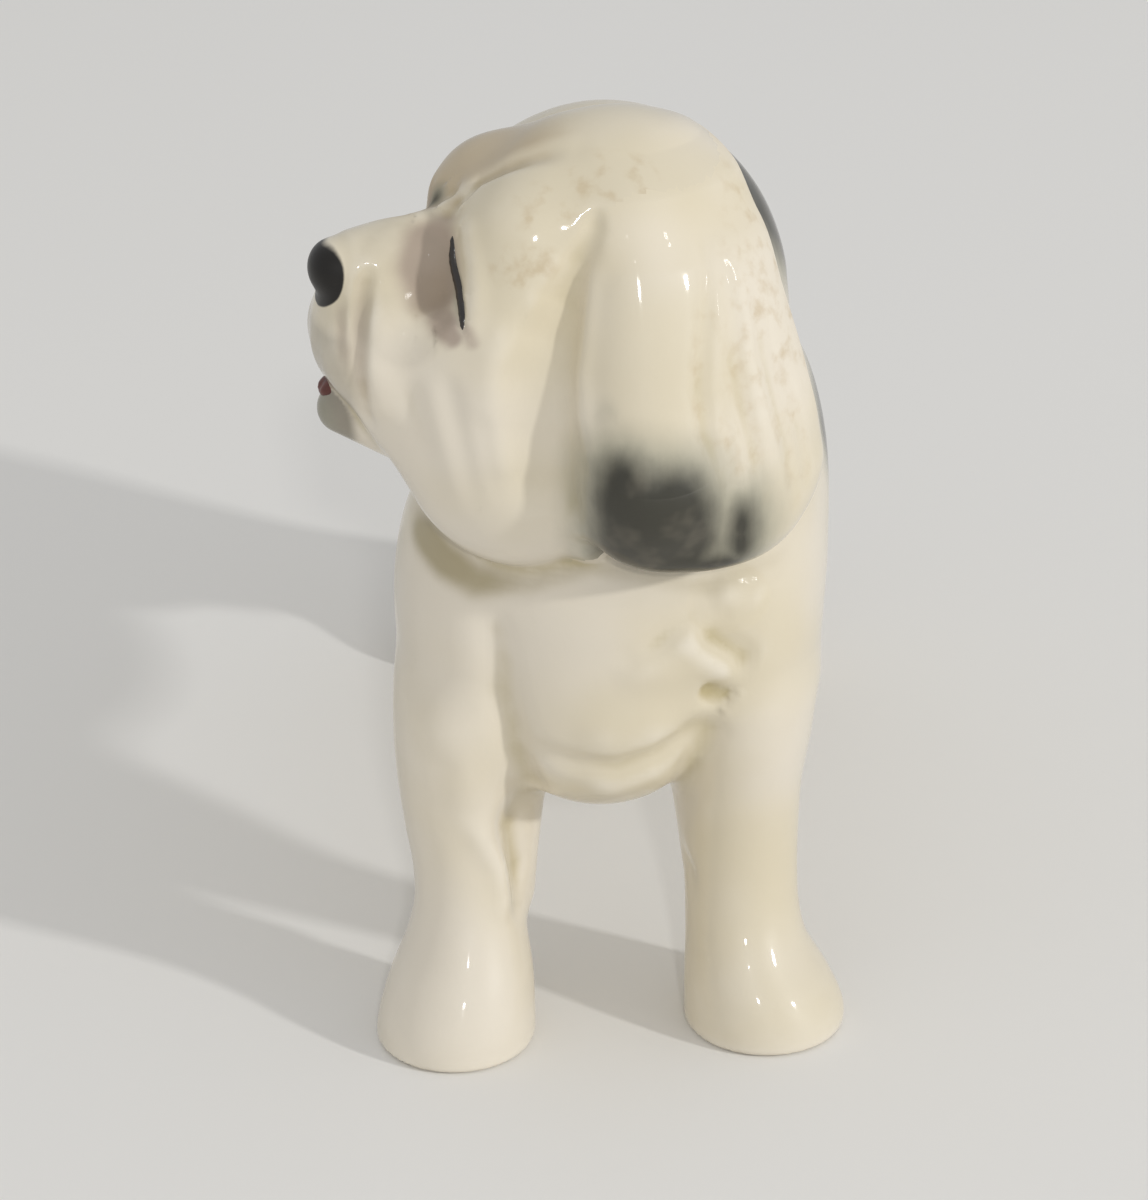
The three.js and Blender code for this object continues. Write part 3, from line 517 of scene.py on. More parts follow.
# The box in which each part's own field is worked out
HEAD_REGION = ((-48, -86, 46), (24, -26, 124))
LEFT_EAR_REGION = ((-14, -86, 50), (36, -38, 122))
RIGHT_EAR_REGION = ((-34, -64, 66), (28, 6, 124))
FORELEG_REGION = ((-42, -82, -20), (42, -26, 60))
HIND_LEG_REGION = ((-42, 10, -20), (42, 82, 60))
TAIL_REGION = ((-20, 40, 46), (20, 90, 90))

# How wide the fillets of glaze between the parts are; the left ear's one widens towards its root
JAW_FILLET, NOSE_FILLET, HEAD_FILLET, RIGHT_EAR_FILLET = 1.6, 0.6, 1.6, 3.2
FORELEG_FILLET, HIND_LEG_FILLET, TAIL_FILLET = 3.5, 5, 5
LEFT_EAR_FILLET, EAR_ROOT_FILLET = 2.0, 6.0
EAR_ROOT_START, EAR_ROOT_LENGTH = 96, 8
SOLE_EDGE = 1.2
# Where glaze fills the notch between the ear, the cheek and the chest, how much and how wide
GLAZED_NOTCH = [(-2.7, -65.0, 66.0), (-3.2, -67.6, 68.4), (-2.0, -64.8, 64.4)]
NOTCH_FILL, NOTCH_WIDTH = 1.3, 2.2


def figure_field(p):
    """The whole figure as one flowing surface."""
    d = trunk_field(p)
    for side in (-1, 1):
        foreleg = within(p, *FORELEG_REGION, lambda q, side=side: foreleg_field(q, side))
        hind_leg = within(p, *HIND_LEG_REGION, lambda q, side=side: hind_leg_field(q, side))
        d = joined(d, (foreleg, FORELEG_FILLET), (hind_leg, HIND_LEG_FILLET))
    d = soft_min(d, within(p, *TAIL_REGION, tail_field), TAIL_FILLET)
    d = d + strokes(p, [THROAT_CREASE] + CHEST_STROKES) + strokes(mirrored(p), SIDE_STROKES)
    d = soft_min(d, within(p, *HEAD_REGION, face_field), HEAD_FILLET)
    left_ear = within(p, *LEFT_EAR_REGION, lambda q: left_ear_field(q) + strokes(q, EAR_STROKES))
    at_root = rising(p[:, 2], EAR_ROOT_START, EAR_ROOT_LENGTH)
    d = soft_min(d, left_ear, LEFT_EAR_FILLET + (EAR_ROOT_FILLET - LEFT_EAR_FILLET) * at_root)
    d = soft_min(d, within(p, *RIGHT_EAR_REGION, right_ear_field), RIGHT_EAR_FILLET)
    for place in GLAZED_NOTCH:
        away = np.sum((p - np.array(place, p.dtype)) ** 2, axis=1)
        d = d - NOTCH_FILL * np.exp(-away / NOTCH_WIDTH**2)
    return soft_max(d, -p[:, 2], SOLE_EDGE)


# The corners of a cell
CORNERS = [(i, j, k) for i in (0, 1) for j in (0, 1) for k in (0, 1)]


def at_corner(block, corner):
    """The points of a block that lie at one corner of its cells, in the order of the cells."""
    return block[tuple(slice(c, c + n - 1) for c, n in zip(corner, block.shape))]


def surface_nets(values, origin, cell):
    """Vertices and quads of the zero level of a block of values: one vertex in each crossed cell."""
    inside = values < 0
    count = np.sum([at_corner(inside, corner) for corner in CORNERS], axis=0)
    cells = np.argwhere((count > 0) & (count < 8))
    index = np.full(count.shape, -1, np.int64)
    index[tuple(cells.T)] = np.arange(len(cells))
    value = {c: values[cells[:, 0] + c[0], cells[:, 1] + c[1], cells[:, 2] + c[2]] for c in CORNERS}
    total = np.zeros((len(cells), 3))
    crossings = np.zeros(len(cells))
    for low in CORNERS:
        for axis in range(3):
            if low[axis]:
                continue
            high = tuple(1 if i == axis else low[i] for i in range(3))
            a, b = value[low], value[high]
            cross = (a < 0) != (b < 0)
            point = np.array(low, float)[None, :].repeat(len(cells), 0)
            point[:, axis] = np.where(cross, a / np.where(cross, a - b, 1.0), 0.0)
            total += point * cross[:, None]
            crossings += cross
    verts = origin + (cells + total / crossings[:, None]) * cell
    quads = []
    for axis in range(3):
        first, second = (axis + 1) % 3, (axis + 2) % 3
        low, high = [slice(None)] * 3, [slice(None)] * 3
        low[axis], high[axis] = slice(0, -1), slice(1, None)
        here, there = inside[tuple(low)], inside[tuple(high)]
        edges = np.argwhere(here != there)
        step_one, step_two = np.eye(3, dtype=int)[first], np.eye(3, dtype=int)[second]
        around = (edges - step_one - step_two, edges - step_two, edges, edges - step_one)
        quad = np.stack([index[tuple(e.T)] for e in around], 1)
        leaving = here[tuple(edges.T)]
        quad[~leaving] = quad[~leaving][:, ::-1]
        quads.append(quad)
    return verts, np.concatenate(quads)


def grid(low, count, step):
    """The points of a block, one row each."""
    axes = [low[i] + np.arange(count[i]) * step for i in range(3)]
    return np.stack(np.meshgrid(*axes, indexing="ij"), -1).reshape(-1, 3).astype(np.float32)


# Cells in a side of a coarse block, how near its surface can pass, and the value far from the surface
COARSE, BAND, UNKNOWN = 4, 2.4, 9.0


def mesh_of(field, low, high, cell):
    """Meshes a field in a box. It is worked out finely only in the coarse blocks near its surface."""
    low = np.array(low, float)
    step = cell * COARSE
    n = np.ceil((np.array(high, float) - low) / step).astype(int) + 1
    rough = field(grid(low, n, step)).reshape(n)
    near = np.abs(rough) < step * 1.1 + BAND
    blocks = np.any([at_corner(near, corner) for corner in CORNERS], axis=0)

    def spread(a):
        return np.repeat(np.repeat(np.repeat(a, COARSE, 0), COARSE, 1), COARSE, 2)

    size = (n - 1) * COARSE + 1
    values = np.full(size, UNKNOWN, np.float32)
    values[:-1, :-1, :-1] = spread(np.where(rough < 0, -UNKNOWN, UNKNOWN)[:-1, :-1, :-1])
    mark = np.zeros(size, bool)
    fine = spread(blocks)
    for corner in CORNERS:
        at_corner(mark, corner)[fine] = True
    at = np.argwhere(mark)
    points = (low + at * cell).astype(np.float32)
    values[tuple(at.T)] = in_parts(field, points)
    verts, quads = surface_nets(values, low, cell)
    for _ in range(2):
        verts = to_surface(field, verts)
    return verts, quads


POINTS_AT_ONCE = 300000


def in_parts(field, points):
    """A field at many points, worked out piece by piece to save memory."""
    starts = range(0, len(points), POINTS_AT_ONCE)
    return np.concatenate([field(points[s : s + POINTS_AT_ONCE]) for s in starts])


def gradient(field, p, step=0.12):
    """The slope of a field, from its values a small step to either side."""
    p = p.astype(np.float32)
    slope = np.empty_like(p)
    for i in range(3):
        d = np.zeros(3, np.float32)
        d[i] = step
        slope[:, i] = (in_parts(field, p + d) - in_parts(field, p - d)) / (2 * step)
    return slope


# The least squared slope that a point is moved by, and the longest move in mm
LEAST_SLOPE, LONGEST_MOVE = 0.2, 0.5


def to_surface(field, verts):
    """Moves points along the field's slope onto its zero level."""
    g = gradient(field, verts)
    f = in_parts(field, verts.astype(np.float32))
    move = f[:, None] * g / np.maximum(np.sum(g * g, 1), LEAST_SLOPE)[:, None]
    size = np.linalg.norm(move, axis=1, keepdims=True)
    return verts - move * np.minimum(1.0, LONGEST_MOVE / np.maximum(size, 1e-9))


def unit(v):
    return v / np.maximum(np.linalg.norm(v, axis=1, keepdims=True), 1e-12)


# Which part of the figure a face belongs to
PARTS = [
    "trunk", "head", "lower_jaw", "nose", "left_ear", "right_ear", "tail",
    "front_left_leg", "front_right_leg", "hind_left_leg", "hind_right_leg",
]


def owners(p):
    """The number of the part that each point belongs to."""
    p = p.astype(np.float32)
    upper = (trunk_field, skull_field, jaw_field, nose_field, left_ear_field, right_ear_field)
    owner = np.argmin(np.stack([field(p) for field in upper]), axis=0)
    owner[(p[:, 1] > TAIL_JOINT) & (p[:, 2] > TAIL_FLOOR)] = PARTS.index("tail")
    left = p[:, 0] > 0
    front = (p[:, 1] < 0) & (p[:, 2] < FORELEG_JOINT)
    hind = (p[:, 1] >= 0) & (p[:, 2] < HIND_LEG_JOINT)
    for end, there in (("front", front), ("hind", hind)):
        owner[there & left] = PARTS.index(end + "_left_leg")
        owner[there & ~left] = PARTS.index(end + "_right_leg")
    return owner


def edges_of(quads):
    """The four edges of each quad as pairs of vertices: first the first edge of each, then the second."""
    return np.concatenate([np.stack([quads[:, i], quads[:, (i + 1) % 4]], 1) for i in range(4)])


def edge_pairs(quads):
    """Every pair of faces that share an edge."""
    edges = edges_of(quads)
    edges.sort(axis=1)
    face = np.tile(np.arange(len(quads)), 4)
    order = np.lexsort((edges[:, 1], edges[:, 0]))
    edges, face = edges[order], face[order]
    same = np.all(edges[1:] == edges[:-1], axis=1)
    return np.stack([face[:-1][same], face[1:][same]], 1)


def without_strays(quads, owner, rounds=6):
    """Gives faces that aren't joined to the main area of their part to the part beside them."""
    pairs = edge_pairs(quads)
    for _ in range(rounds):
        label = np.arange(len(quads))
        same = owner[pairs[:, 0]] == owner[pairs[:, 1]]
        a, b = pairs[same].T
        while True:
            low = np.minimum(label[a], label[b])
            before = label.copy()
            np.minimum.at(label, a, low)
            np.minimum.at(label, b, low)
            label = label[label]
            if np.array_equal(before, label):
                break
        stray = np.zeros(len(quads), bool)
        for part in np.unique(owner):
            mine = owner == part
            names, sizes = np.unique(label[mine], return_counts=True)
            stray |= mine & (label != names[np.argmax(sizes)])
        if not stray.any():
            return owner
        for x, y in (pairs.T, pairs[:, ::-1].T):
            take = stray[x] & ~stray[y]
            owner[x[take]] = owner[y[take]]
    return owner


def finer(verts, quads, chosen, field):
    """Cuts each chosen quad into four and puts the new points on the surface.

    A new point on the border of the chosen area stays on the old edge, so no crack opens there."""
    rows = quads[chosen]
    sorted_edges = np.sort(edges_of(rows), axis=1)
    unique, inverse, uses = np.unique(sorted_edges, axis=0, return_inverse=True, return_counts=True)
    inverse = inverse.reshape(4, len(rows)).T
    middles = verts[unique].mean(axis=1)
    centres = verts[rows].mean(axis=1)
    free = uses == 2
    middles[free] = to_surface(field, middles[free])
    centres = to_surface(field, centres)
    first_middle = len(verts)
    first_centre = first_middle + len(middles)
    m = inverse + first_middle
    c = first_centre + np.arange(len(rows))
    new = [np.stack([rows[:, i], m[:, i], c, m[:, (i - 1) % 4]], 1) for i in range(4)]
    verts = np.concatenate([verts, middles, centres])
    quads = np.concatenate([quads[~chosen], *new])
    parents = np.concatenate([np.flatnonzero(~chosen)] + [np.flatnonzero(chosen)] * 4)
    return verts, quads, parents


def border_loops(quads):
    """Closed rings of vertices round the open edges of some quads, in the faces' direction."""
    spare = Counter(map(tuple, edges_of(quads).tolist()))
    for a, b in list(spare):
        both = min(spare[(a, b)], spare[(b, a)])
        spare[(a, b)] -= both
        spare[(b, a)] -= both
    follow = {}
    for (a, b), times in spare.items():
        if times > 0:
            follow.setdefault(a, []).extend([b] * times)
    loops = []
    while follow:
        loop, here = [], next(iter(follow))
        while here in follow:
            loop.append(here)
            following = follow[here].pop()
            if not follow[here]:
                del follow[here]
            here = following
        if len(loop) > 2:
            loops.append(loop)
    return loops


# How far below the surface the caps of the parts lie
CAP_DEPTH = 1.0


def closed(verts, quads, inward):
    """Closes a part's open borders with a cap that runs down into the figure."""
    faces = quads.tolist()
    extra = []
    for loop in border_loops(quads):
        ring = verts[loop] + inward[loop] * CAP_DEPTH
        base = len(verts) + len(extra)
        extra.extend(ring)
        extra.append(ring.mean(axis=0))
        middle = base + len(loop)
        for i, a in enumerate(loop):
            j = (i + 1) % len(loop)
            faces.append([loop[j], a, base + i, base + j])
            faces.append([base + j, base + i, middle])
    if extra:
        verts = np.concatenate([verts, np.array(extra)])
    return verts, faces


def add_mesh(name, verts, faces, normals=None):
    """A smooth mesh object from points in the sculpting frame."""
    mesh = bpy.data.meshes.new(name)
    mesh.from_pydata(((verts + SHIFT) * MM).tolist(), [], faces)
    mesh.update()
    mesh.shade_smooth()
    if normals is not None:
        mesh.normals_split_custom_set_from_vertices(normals.tolist())
    piece = bpy.data.objects.new(name, mesh)
    bpy.context.scene.collection.objects.link(piece)
    return piece


def set_values(piece, name, values):
    """Stores one number for each vertex, for the material to read."""
    attribute = piece.data.attributes.new(name, "FLOAT", "POINT")
    attribute.data.foreach_set("value", values.astype(np.float32))


def hollowness(field, p, normal, reach):
    """Above 0 in a hollow and below 0 on a ridge, from the field a little way beside each point."""
    side = unit(np.cross(normal, np.where(np.abs(normal[:, :1]) < 0.8, (1.0, 0, 0), (0, 1.0, 0))))
    other = np.cross(normal, side)
    total = np.zeros(len(p))
    for way in (side, -side, other, -other):
        total += in_parts(field, (p + way * reach).astype(np.float32))
    return -total / (4 * reach)


def linear(c):
    """Linear value of one 0 to 255 display value."""
    return c / 255 / 12.92 if c <= 10 else ((c / 255 + 0.055) / 1.055) ** 2.4


def srgb(red, green, blue):
    return linear(red), linear(green), linear(blue)


class Nodes:
    """A material's node tree with short calls for the nodes used here."""

    def __init__(self, name):
        self.material = bpy.data.materials.new(name)
        self.material.use_nodes = True
        self.tree = self.material.node_tree
        self.tree.nodes.clear()
        self.shader = self.add("ShaderNodeBsdfPrincipled")
        output = self.add("ShaderNodeOutputMaterial")
        self.link(self.shader.outputs[0], output.inputs["Surface"])
        self.place = self.add("ShaderNodeTexCoord").outputs["Object"]

    def add(self, kind, **settings):
        node = self.tree.nodes.new(kind)
        for key, value in settings.items():
            setattr(node, key, value)
        return node

    def link(self, source, target):
        self.tree.links.new(source, target)

    def feed(self, socket, value):
        """Links another node's output to a socket, or gives the socket a plain value."""
        if isinstance(value, bpy.types.NodeSocket):
            self.link(value, socket)
        else:
            socket.default_value = value

    def surface(self, looks):
        """Feeds the shader's sockets."""
        for name, value in looks.items():
            self.feed(self.shader.inputs[name], value)

    def math(self, kind, a, b):
        node = self.add("ShaderNodeMath", operation=kind)
        self.feed(node.inputs[0], a)
        self.feed(node.inputs[1], b)
        return node.outputs[0]

    def plus(self, a, b, share):
        """a + b * share"""
        return self.math("ADD", a, self.math("MULTIPLY", b, share))

    def noise(self, size_mm, detail, where=None):
        """Noise between 0 and 1 with features about size_mm wide."""
        node = self.add("ShaderNodeTexNoise")
        self.link(where or self.place, node.inputs["Vector"])
        node.inputs["Scale"].default_value = 1.0 / (size_mm * MM)
        node.inputs["Detail"].default_value = detail
        return node.outputs["Fac"]

    def stretched(self, x, y, z):
        """The place with each direction scaled, so that noise is drawn out where the scale is small."""
        node = self.add("ShaderNodeVectorMath", operation="MULTIPLY")
        self.link(self.place, node.inputs[0])
        node.inputs[1].default_value = (x, y, z)
        return node.outputs[0]

    def stored(self, name):
        return self.add("ShaderNodeAttribute", attribute_name=name).outputs["Fac"]

    def ramp(self, value, low, high, to_low=0.0, to_high=1.0):
        """Value between low and high, smoothly spread between to_low and to_high."""
        node = self.add("ShaderNodeMapRange", interpolation_type="SMOOTHSTEP")
        for i, v in enumerate((value, low, high, to_low, to_high)):
            self.feed(node.inputs[i], v)
        return node.outputs[0]

    def mix(self, share, a, b):
        """Colour a, or colour b where share is 1."""
        node = self.add("ShaderNodeMix", data_type="RGBA")
        for i, v in ((0, share), (6, a), (7, b)):
            self.feed(node.inputs[i], (*v, 1.0) if isinstance(v, tuple) else v)
        return node.outputs[2]


WARM_WHITE = srgb(224, 215, 198)
CREAM = srgb(215, 204, 178)
THICK_GLAZE = srgb(184, 170, 128)
THIN_GLAZE = srgb(232, 224, 208)
# The tan below is painted shade in the brow
BROW_SHADE_TAN = srgb(176, 156, 122)
# The next colour is painted shadow below the head's rim, mixed with pooled glaze
RIM_SHADOW_COLOUR = srgb(150, 136, 92)
STAIN = srgb(184, 160, 118)
EYE_BROWN = srgb(160, 142, 129)
SOOT = srgb(50, 48, 36)
SOOT_EDGE = srgb(150, 148, 130)
SOOT_STREAK = srgb(84, 79, 66)
BLACK = srgb(24, 21, 17)
JAW_GREY = srgb(140, 133, 119)
# The washes and the painted shade: the name of their stored amount, their colour and how strong it gets.
# The tan is painted shade in the brow, the rim colour is painted shadow below the head's rim mixed with
# pooled glaze, and the grey is paint on the lips and jaw with painted shade over the muzzle side.
WASHES_AND_PAINTED_SHADE = (("rim_shadow_and_pooling", RIM_SHADOW_COLOUR, 0.75), ("tan", BROW_SHADE_TAN, 0.7), ("brown", EYE_BROWN, 0.8), ("grey", JAW_GREY, 0.95))
# How much fine noise breaks up the pooled glaze, the washes and the painted shade, and the edges of soot
# and black in mm
FINE_SHARE, SOOT_RAGGED, SOOT_BRUSHED, BLACK_RAGGED = 0.12, 1.0, 0.8, 0.25
COAT_ROUGHNESS = 0.05
BUMP_HEIGHT = 0.12 * MM


def glaze_material(name):
    """Cream glaze over pale clay, thicker and yellower in the hollows, with airbrushed colours, painted
    shade and a painted shadow.
    """
    n = Nodes(name)
    wash = n.math("SUBTRACT", n.noise(3.2, 3), 0.5)
    colour = n.mix(n.ramp(n.noise(26, 2), 0.35, 0.65), WARM_WHITE, CREAM)
    pooled = n.plus(n.stored("hollow"), wash, FINE_SHARE)
    colour = n.mix(n.ramp(pooled, 0.02, 0.40, 0.0, 0.95), colour, THICK_GLAZE)
    colour = n.mix(n.ramp(pooled, -0.05, -0.4, 0.0, 0.8), colour, THIN_GLAZE)
    stains = n.math("MULTIPLY", n.ramp(n.noise(2.0, 4), 0.46, 0.78), n.stored("stain"))
    colour = n.mix(n.math("MULTIPLY", stains, 0.45), colour, STAIN)
    # Washes, painted shade and painted shadow, laid over the glaze one by one
    for stored, tint, strength in WASHES_AND_PAINTED_SHADE:
        amount = n.plus(n.stored(stored), wash, FINE_SHARE)
        colour = n.mix(n.ramp(amount, 0.12, 0.85, 0.0, strength), colour, tint)
    brushed = n.math("SUBTRACT", n.noise(1.5, 3, n.stretched(1.0, 1.0, 0.16)), 0.5)
    ragged = n.plus(n.stored("soot"), wash, SOOT_RAGGED)
    ragged = n.plus(ragged, brushed, SOOT_BRUSHED)
    colour = n.mix(n.ramp(ragged, 4.6, -0.6, 0.0, 0.8), colour, SOOT_EDGE)
    soot = n.mix(n.ramp(n.noise(4.0, 2), 0.48, 0.72, 0.0, 0.7), SOOT, SOOT_STREAK)
    colour = n.mix(n.ramp(ragged, 1.6, -2.4), colour, soot)
    black = n.plus(n.stored("black"), wash, BLACK_RAGGED)
    colour = n.mix(n.ramp(black, 0.12, -0.12), colour, BLACK)
    dull = n.ramp(n.stored("dull"), 0.1, 0.6, 0.0, 0.25)
    roughness = n.math("ADD", dull, n.ramp(n.noise(9, 2), 0.3, 0.7, 0.42, 0.5))
    clear = n.ramp(n.stored("dull"), 0.1, 0.6, 0.75, 0.02)
    coat = n.math("SUBTRACT", clear, n.ramp(n.stored("black"), 0.3, -0.3, 0.0, 0.55))
    bump = n.add("ShaderNodeBump")
    bump.inputs["Strength"].default_value = 0.2
    bump.inputs["Distance"].default_value = BUMP_HEIGHT
    n.link(n.noise(2.2, 2), bump.inputs["Height"])
    n.surface({"Base Color": colour, "Roughness": roughness, "Specular IOR Level": 0.3, "IOR": 1.5})
    n.surface({"Coat Weight": coat, "Coat Roughness": COAT_ROUGHNESS, "Normal": bump.outputs[0]})
    return n.material


def painted_material(name, tint, deep, coat):
    """A small painted detail under clear glaze."""
    n = Nodes(name)
    colour = n.mix(n.ramp(n.noise(1.4, 3), 0.3, 0.7), tint, deep)
    roughness = n.ramp(n.noise(2.0, 2), 0.3, 0.7, 0.35, 0.45)
    n.surface({"Base Color": colour, "Roughness": roughness})
    n.surface({"Coat Weight": coat, "Coat Roughness": COAT_ROUGHNESS})
    return n.material


# Painted places as ellipsoids: centre and radii. The first ones are in the head's own directions.
FRECKLES = [((x, y, z), (3, 3, 1.6)) for x, y, z in
            ((0.2, 8.4, 9.5), (-2.1, 9.1, 9.0), (10.4, 11.9, 2.8), (7.0, 10.0, 8.0))]
FAR_EYE = ((16.6, -3.1, 5.8), (1.0, 0.9, 1.1))
# Painted shade over the side of the muzzle
MUZZLE_SHADE = ((22.0, 3.0, -3.0), (6, 7, 8))
BESIDE_LIPS = ((23.0, 7.0, -2.5), (4, 5, 5))
NOSE_BLACK = ((29.9, 0, 1.1), (3.3, 4.4, 3.45))
RUMP_SPOT = ((17, 46, 67), (10, 13, 15))
FLANK_SPOT = ((25, -20, 66), (6, 18, 7))
CHEST_TUFT = ((13, -61, 57), (4, 4, 3))
# The dark tip of the left ear as seen from the front, with the spot behind it and the haze above it
EAR_TIP = ((1.2, 0, 70.5), (4.5, 20, 8.8))
EAR_TIP_MIDDLE = ((6.5, 0, 69.8), (5.4, 20, 8.2))
EAR_TIP_RIM = ((9.0, 0, 65.0), (6.0, 20, 2.6))
EAR_SPOT = ((14.0, 0, 68.4), (2.2, 20, 4.0))
EAR_HAZE = ((-0.6, 0, 77.0), (3.4, 20, 8.5))
# Left end of the dark tip, and how far forward it goes
EAR_TIP_START, EAR_TIP_BACK = -2.4, -58
# The value of soot and of black where there is none, and of soot where its edge only just doesn't show
NONE, CLEAR = 9.0, 5.2


def inside(p, place, reach, width=1.0):
    """1 inside an ellipsoid, fading to 0 where its field is reach, over a width."""
    return np.clip((reach - ellipsoid(p, *place)) / width, 0, 1)


def both_sides(h, lines, spread):
    """The shade of strokes on the head's left side, the same on its right side."""
    return np.maximum(shade(h, lines, spread), shade(on_side(h, -1), lines, spread))


def paint_head(values, p):
    h = to_head(p)
    forward, left, up = h.T
    # Painted shade, in tan, in the brow furrow and over the far half of the brow, which faces away from
    # the light
    beyond_furrow = 1.5 + (13.8 - forward) * 0.3 - left
    far_brow_shade = rising(beyond_furrow, 0, 3) * rising(up, 2, 4) * rising(forward, -3, 9)
    values["tan"] = np.maximum(shade(h, [BROW_FURROW, BROW_TO_EYE], 1.5), far_brow_shade) * 0.75
    eyes = np.maximum(both_sides(h, [EYE_HOLLOW], 1.1) * 1.3, both_sides(h, [EYE_WASH], 1.1) * 1.15)
    eyes = np.maximum(eyes, shade(h, [EYE_SMEAR], 0.8) * 0.6)
    lips = both_sides(h, [LIP_CREASE, LIP_FOLD], 1.4)
    values["brown"] = np.maximum(eyes, lips * 0.55)
    dull = np.maximum(both_sides(h, [EYE_HOLLOW, LIP_CREASE], 1.7), shade(h, [LIP_SWELL], 1.7))
    dull = np.maximum(dull, shade(h, [CHEEK_HOLLOW[:4]], 1.8))
    values["dull"] = np.maximum(dull, inside(h, BESIDE_LIPS, 1.4))
    values["stain"] = np.max([inside(h, place, 1.2) for place in FRECKLES], axis=0)
    on_jaw = rising(skull_field(p) - jaw_field(p), -0.4, 0.8)
    lip_front = rising(forward, 28.0, 2.0) * rising(-up, 2.5, 2.0) * 0.45
    # Painted shade: the side of the muzzle a little greyer
    muzzle = inside(h, MUZZLE_SHADE, 2.6, 2.0) * 0.3
    values["grey"] = np.maximum(np.maximum(lip_front, muzzle), on_jaw * rising(forward, 28.6, 2.0))
    slits = (CLEAR + 0.6) - 8.6 * both_sides(h, [EYE_SLIT], 1.5)
    jaw_tip = CLEAR - 4.0 * on_jaw * rising(forward, 30.3, 2.0)
    values["soot"] = np.minimum(np.minimum(slits, 3.0 * ellipsoid(h, *FAR_EYE)), jaw_tip)
    tilted = np.stack([forward + 0.2 * up, left, up], 1)
    values["black"] = ellipsoid(tilted, *NOSE_BLACK)


def ear_tip(p):
    """The distance from the edge of the dark tip of the left ear."""
    flat = p * np.array((1, 0, 1), p.dtype)
    tip = soft_min(ellipsoid(flat, *EAR_TIP), ellipsoid(flat, *EAR_TIP_MIDDLE), 2.6)
    tip = soft_min(tip, ellipsoid(flat, *EAR_TIP_RIM), 1.0)
    tip = soft_min(soft_max(tip, EAR_TIP_START - p[:, 0], 1.0), ellipsoid(flat, *EAR_SPOT), 0.6)
    haze = np.maximum(ellipsoid(flat, *EAR_HAZE) + 4.4, 2.7)
    return np.minimum(tip, haze) + 20 * (p[:, 1] > EAR_TIP_BACK)


def paint(p, owner_name):
    """The painted areas at each point. Washes, painted shade, stains and dull areas go from 0 to 1; soot
    and black are about the distance in mm from the edge of the painted area, negative inside it."""
    p = p.astype(np.float32)
    x, z = p[:, 0], p[:, 2]
    values = {name: np.zeros(len(p), np.float32) for name in ("tan", "brown", "grey", "stain", "dull")}
    values.update({name: np.full(len(p), NONE, np.float32) for name in ("soot", "black")})
    # Painted shadow below the rim of the head, mixed with glaze pooled there
    values["rim_shadow_and_pooling"] = shade(p, [UNDER_RIM])
    if owner_name in ("head", "lower_jaw", "nose"):
        paint_head(values, p)
    if owner_name in ("left_ear", "head"):
        values["soot"] = np.minimum(values["soot"], ear_tip(p))
    if owner_name == "left_ear":
        locks = shade(p, EAR_STROKES[:5], 1.3) * rising(-z, -98, 5)
        values["stain"] = np.maximum(locks, rising(x, 10, 5) * rising(z, 80, 6))
        values["dull"] = np.maximum(rising(x, 8.9, 1) * rising(z, 76, 6), rising(z, 96.5, 2))
    if owner_name == "trunk":
        values["soot"] = np.minimum(ellipsoid(p, *RUMP_SPOT), ellipsoid(p, *FLANK_SPOT))
        values["dull"] = inside(p, CHEST_TUFT, 1.4)
    return values


# Build the figure as one surface, with the head and the ears cut finer
FIGURE_BOX = ((-44, -86, -6), (44, 80, 120))
DETAILED = ("head", "lower_jaw", "nose", "left_ear", "right_ear")
verts, quads = mesh_of(figure_field, *FIGURE_BOX, CELL)
owner = without_strays(quads, owners(verts[quads].mean(axis=1)))
chosen = np.isin(owner, [PARTS.index(name) for name in DETAILED])
verts, quads, parents = finer(verts, quads, chosen, figure_field)
owner = owner[parents]
normals = unit(gradient(figure_field, verts))

# Glaze pools in narrow hollows and in wide ones: how far beside a point each is felt, and its share
HOLLOWS = ((1.3, 0.8), (3.4, 0.5))
hollow = sum(hollowness(figure_field, verts, normals, reach) * share for reach, share in HOLLOWS)

# Split it into the parts
glaze = glaze_material("cream_glaze_head")
for number, name in enumerate(PARTS):
    mine = quads[owner == number]
    used, local = np.unique(mine, return_inverse=True)
    local = local.reshape(mine.shape)
    points = verts[used]
    whole, faces = closed(points, local, -normals[used])
    spare = len(whole) - len(points)
    piece_normals = np.concatenate([normals[used], np.zeros((spare, 3))])
    piece = add_mesh("glazed_" + name, whole, faces, piece_normals)
    # Hardly any glaze pools in the wide hollow of the cheek
    in_cheek = shade(to_head(points.astype(np.float32)), [CHEEK_HOLLOW], 1.2)
    pooled = hollow[used] * (1 - 0.9 * in_cheek)
    set_values(piece, "hollow", np.concatenate([pooled, np.zeros(spare)]))
    for key, values in paint(whole, name).items():
        set_values(piece, key, values)
    piece.data.materials.append(glaze)
    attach(piece, "root")
    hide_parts(name)


def small_piece(name, field, low, high, cell, material, slot):
    points, faces = mesh_of(field, low, high, cell)
    piece = add_mesh("glazed_" + name, points, faces.tolist(), unit(gradient(field, points)))
    piece.data.materials.append(material)
    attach(piece, "root")
    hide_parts(name)


# How deep the middle of the eye lies below the glaze, how thick the eye is and how finely it is cut
EYE_DEPTH, EYE_ENDS, EYE_SWELL = 0.25, 0.26, 0.44
EYE_CELL, EYE_MARGIN = 0.15, 1.5


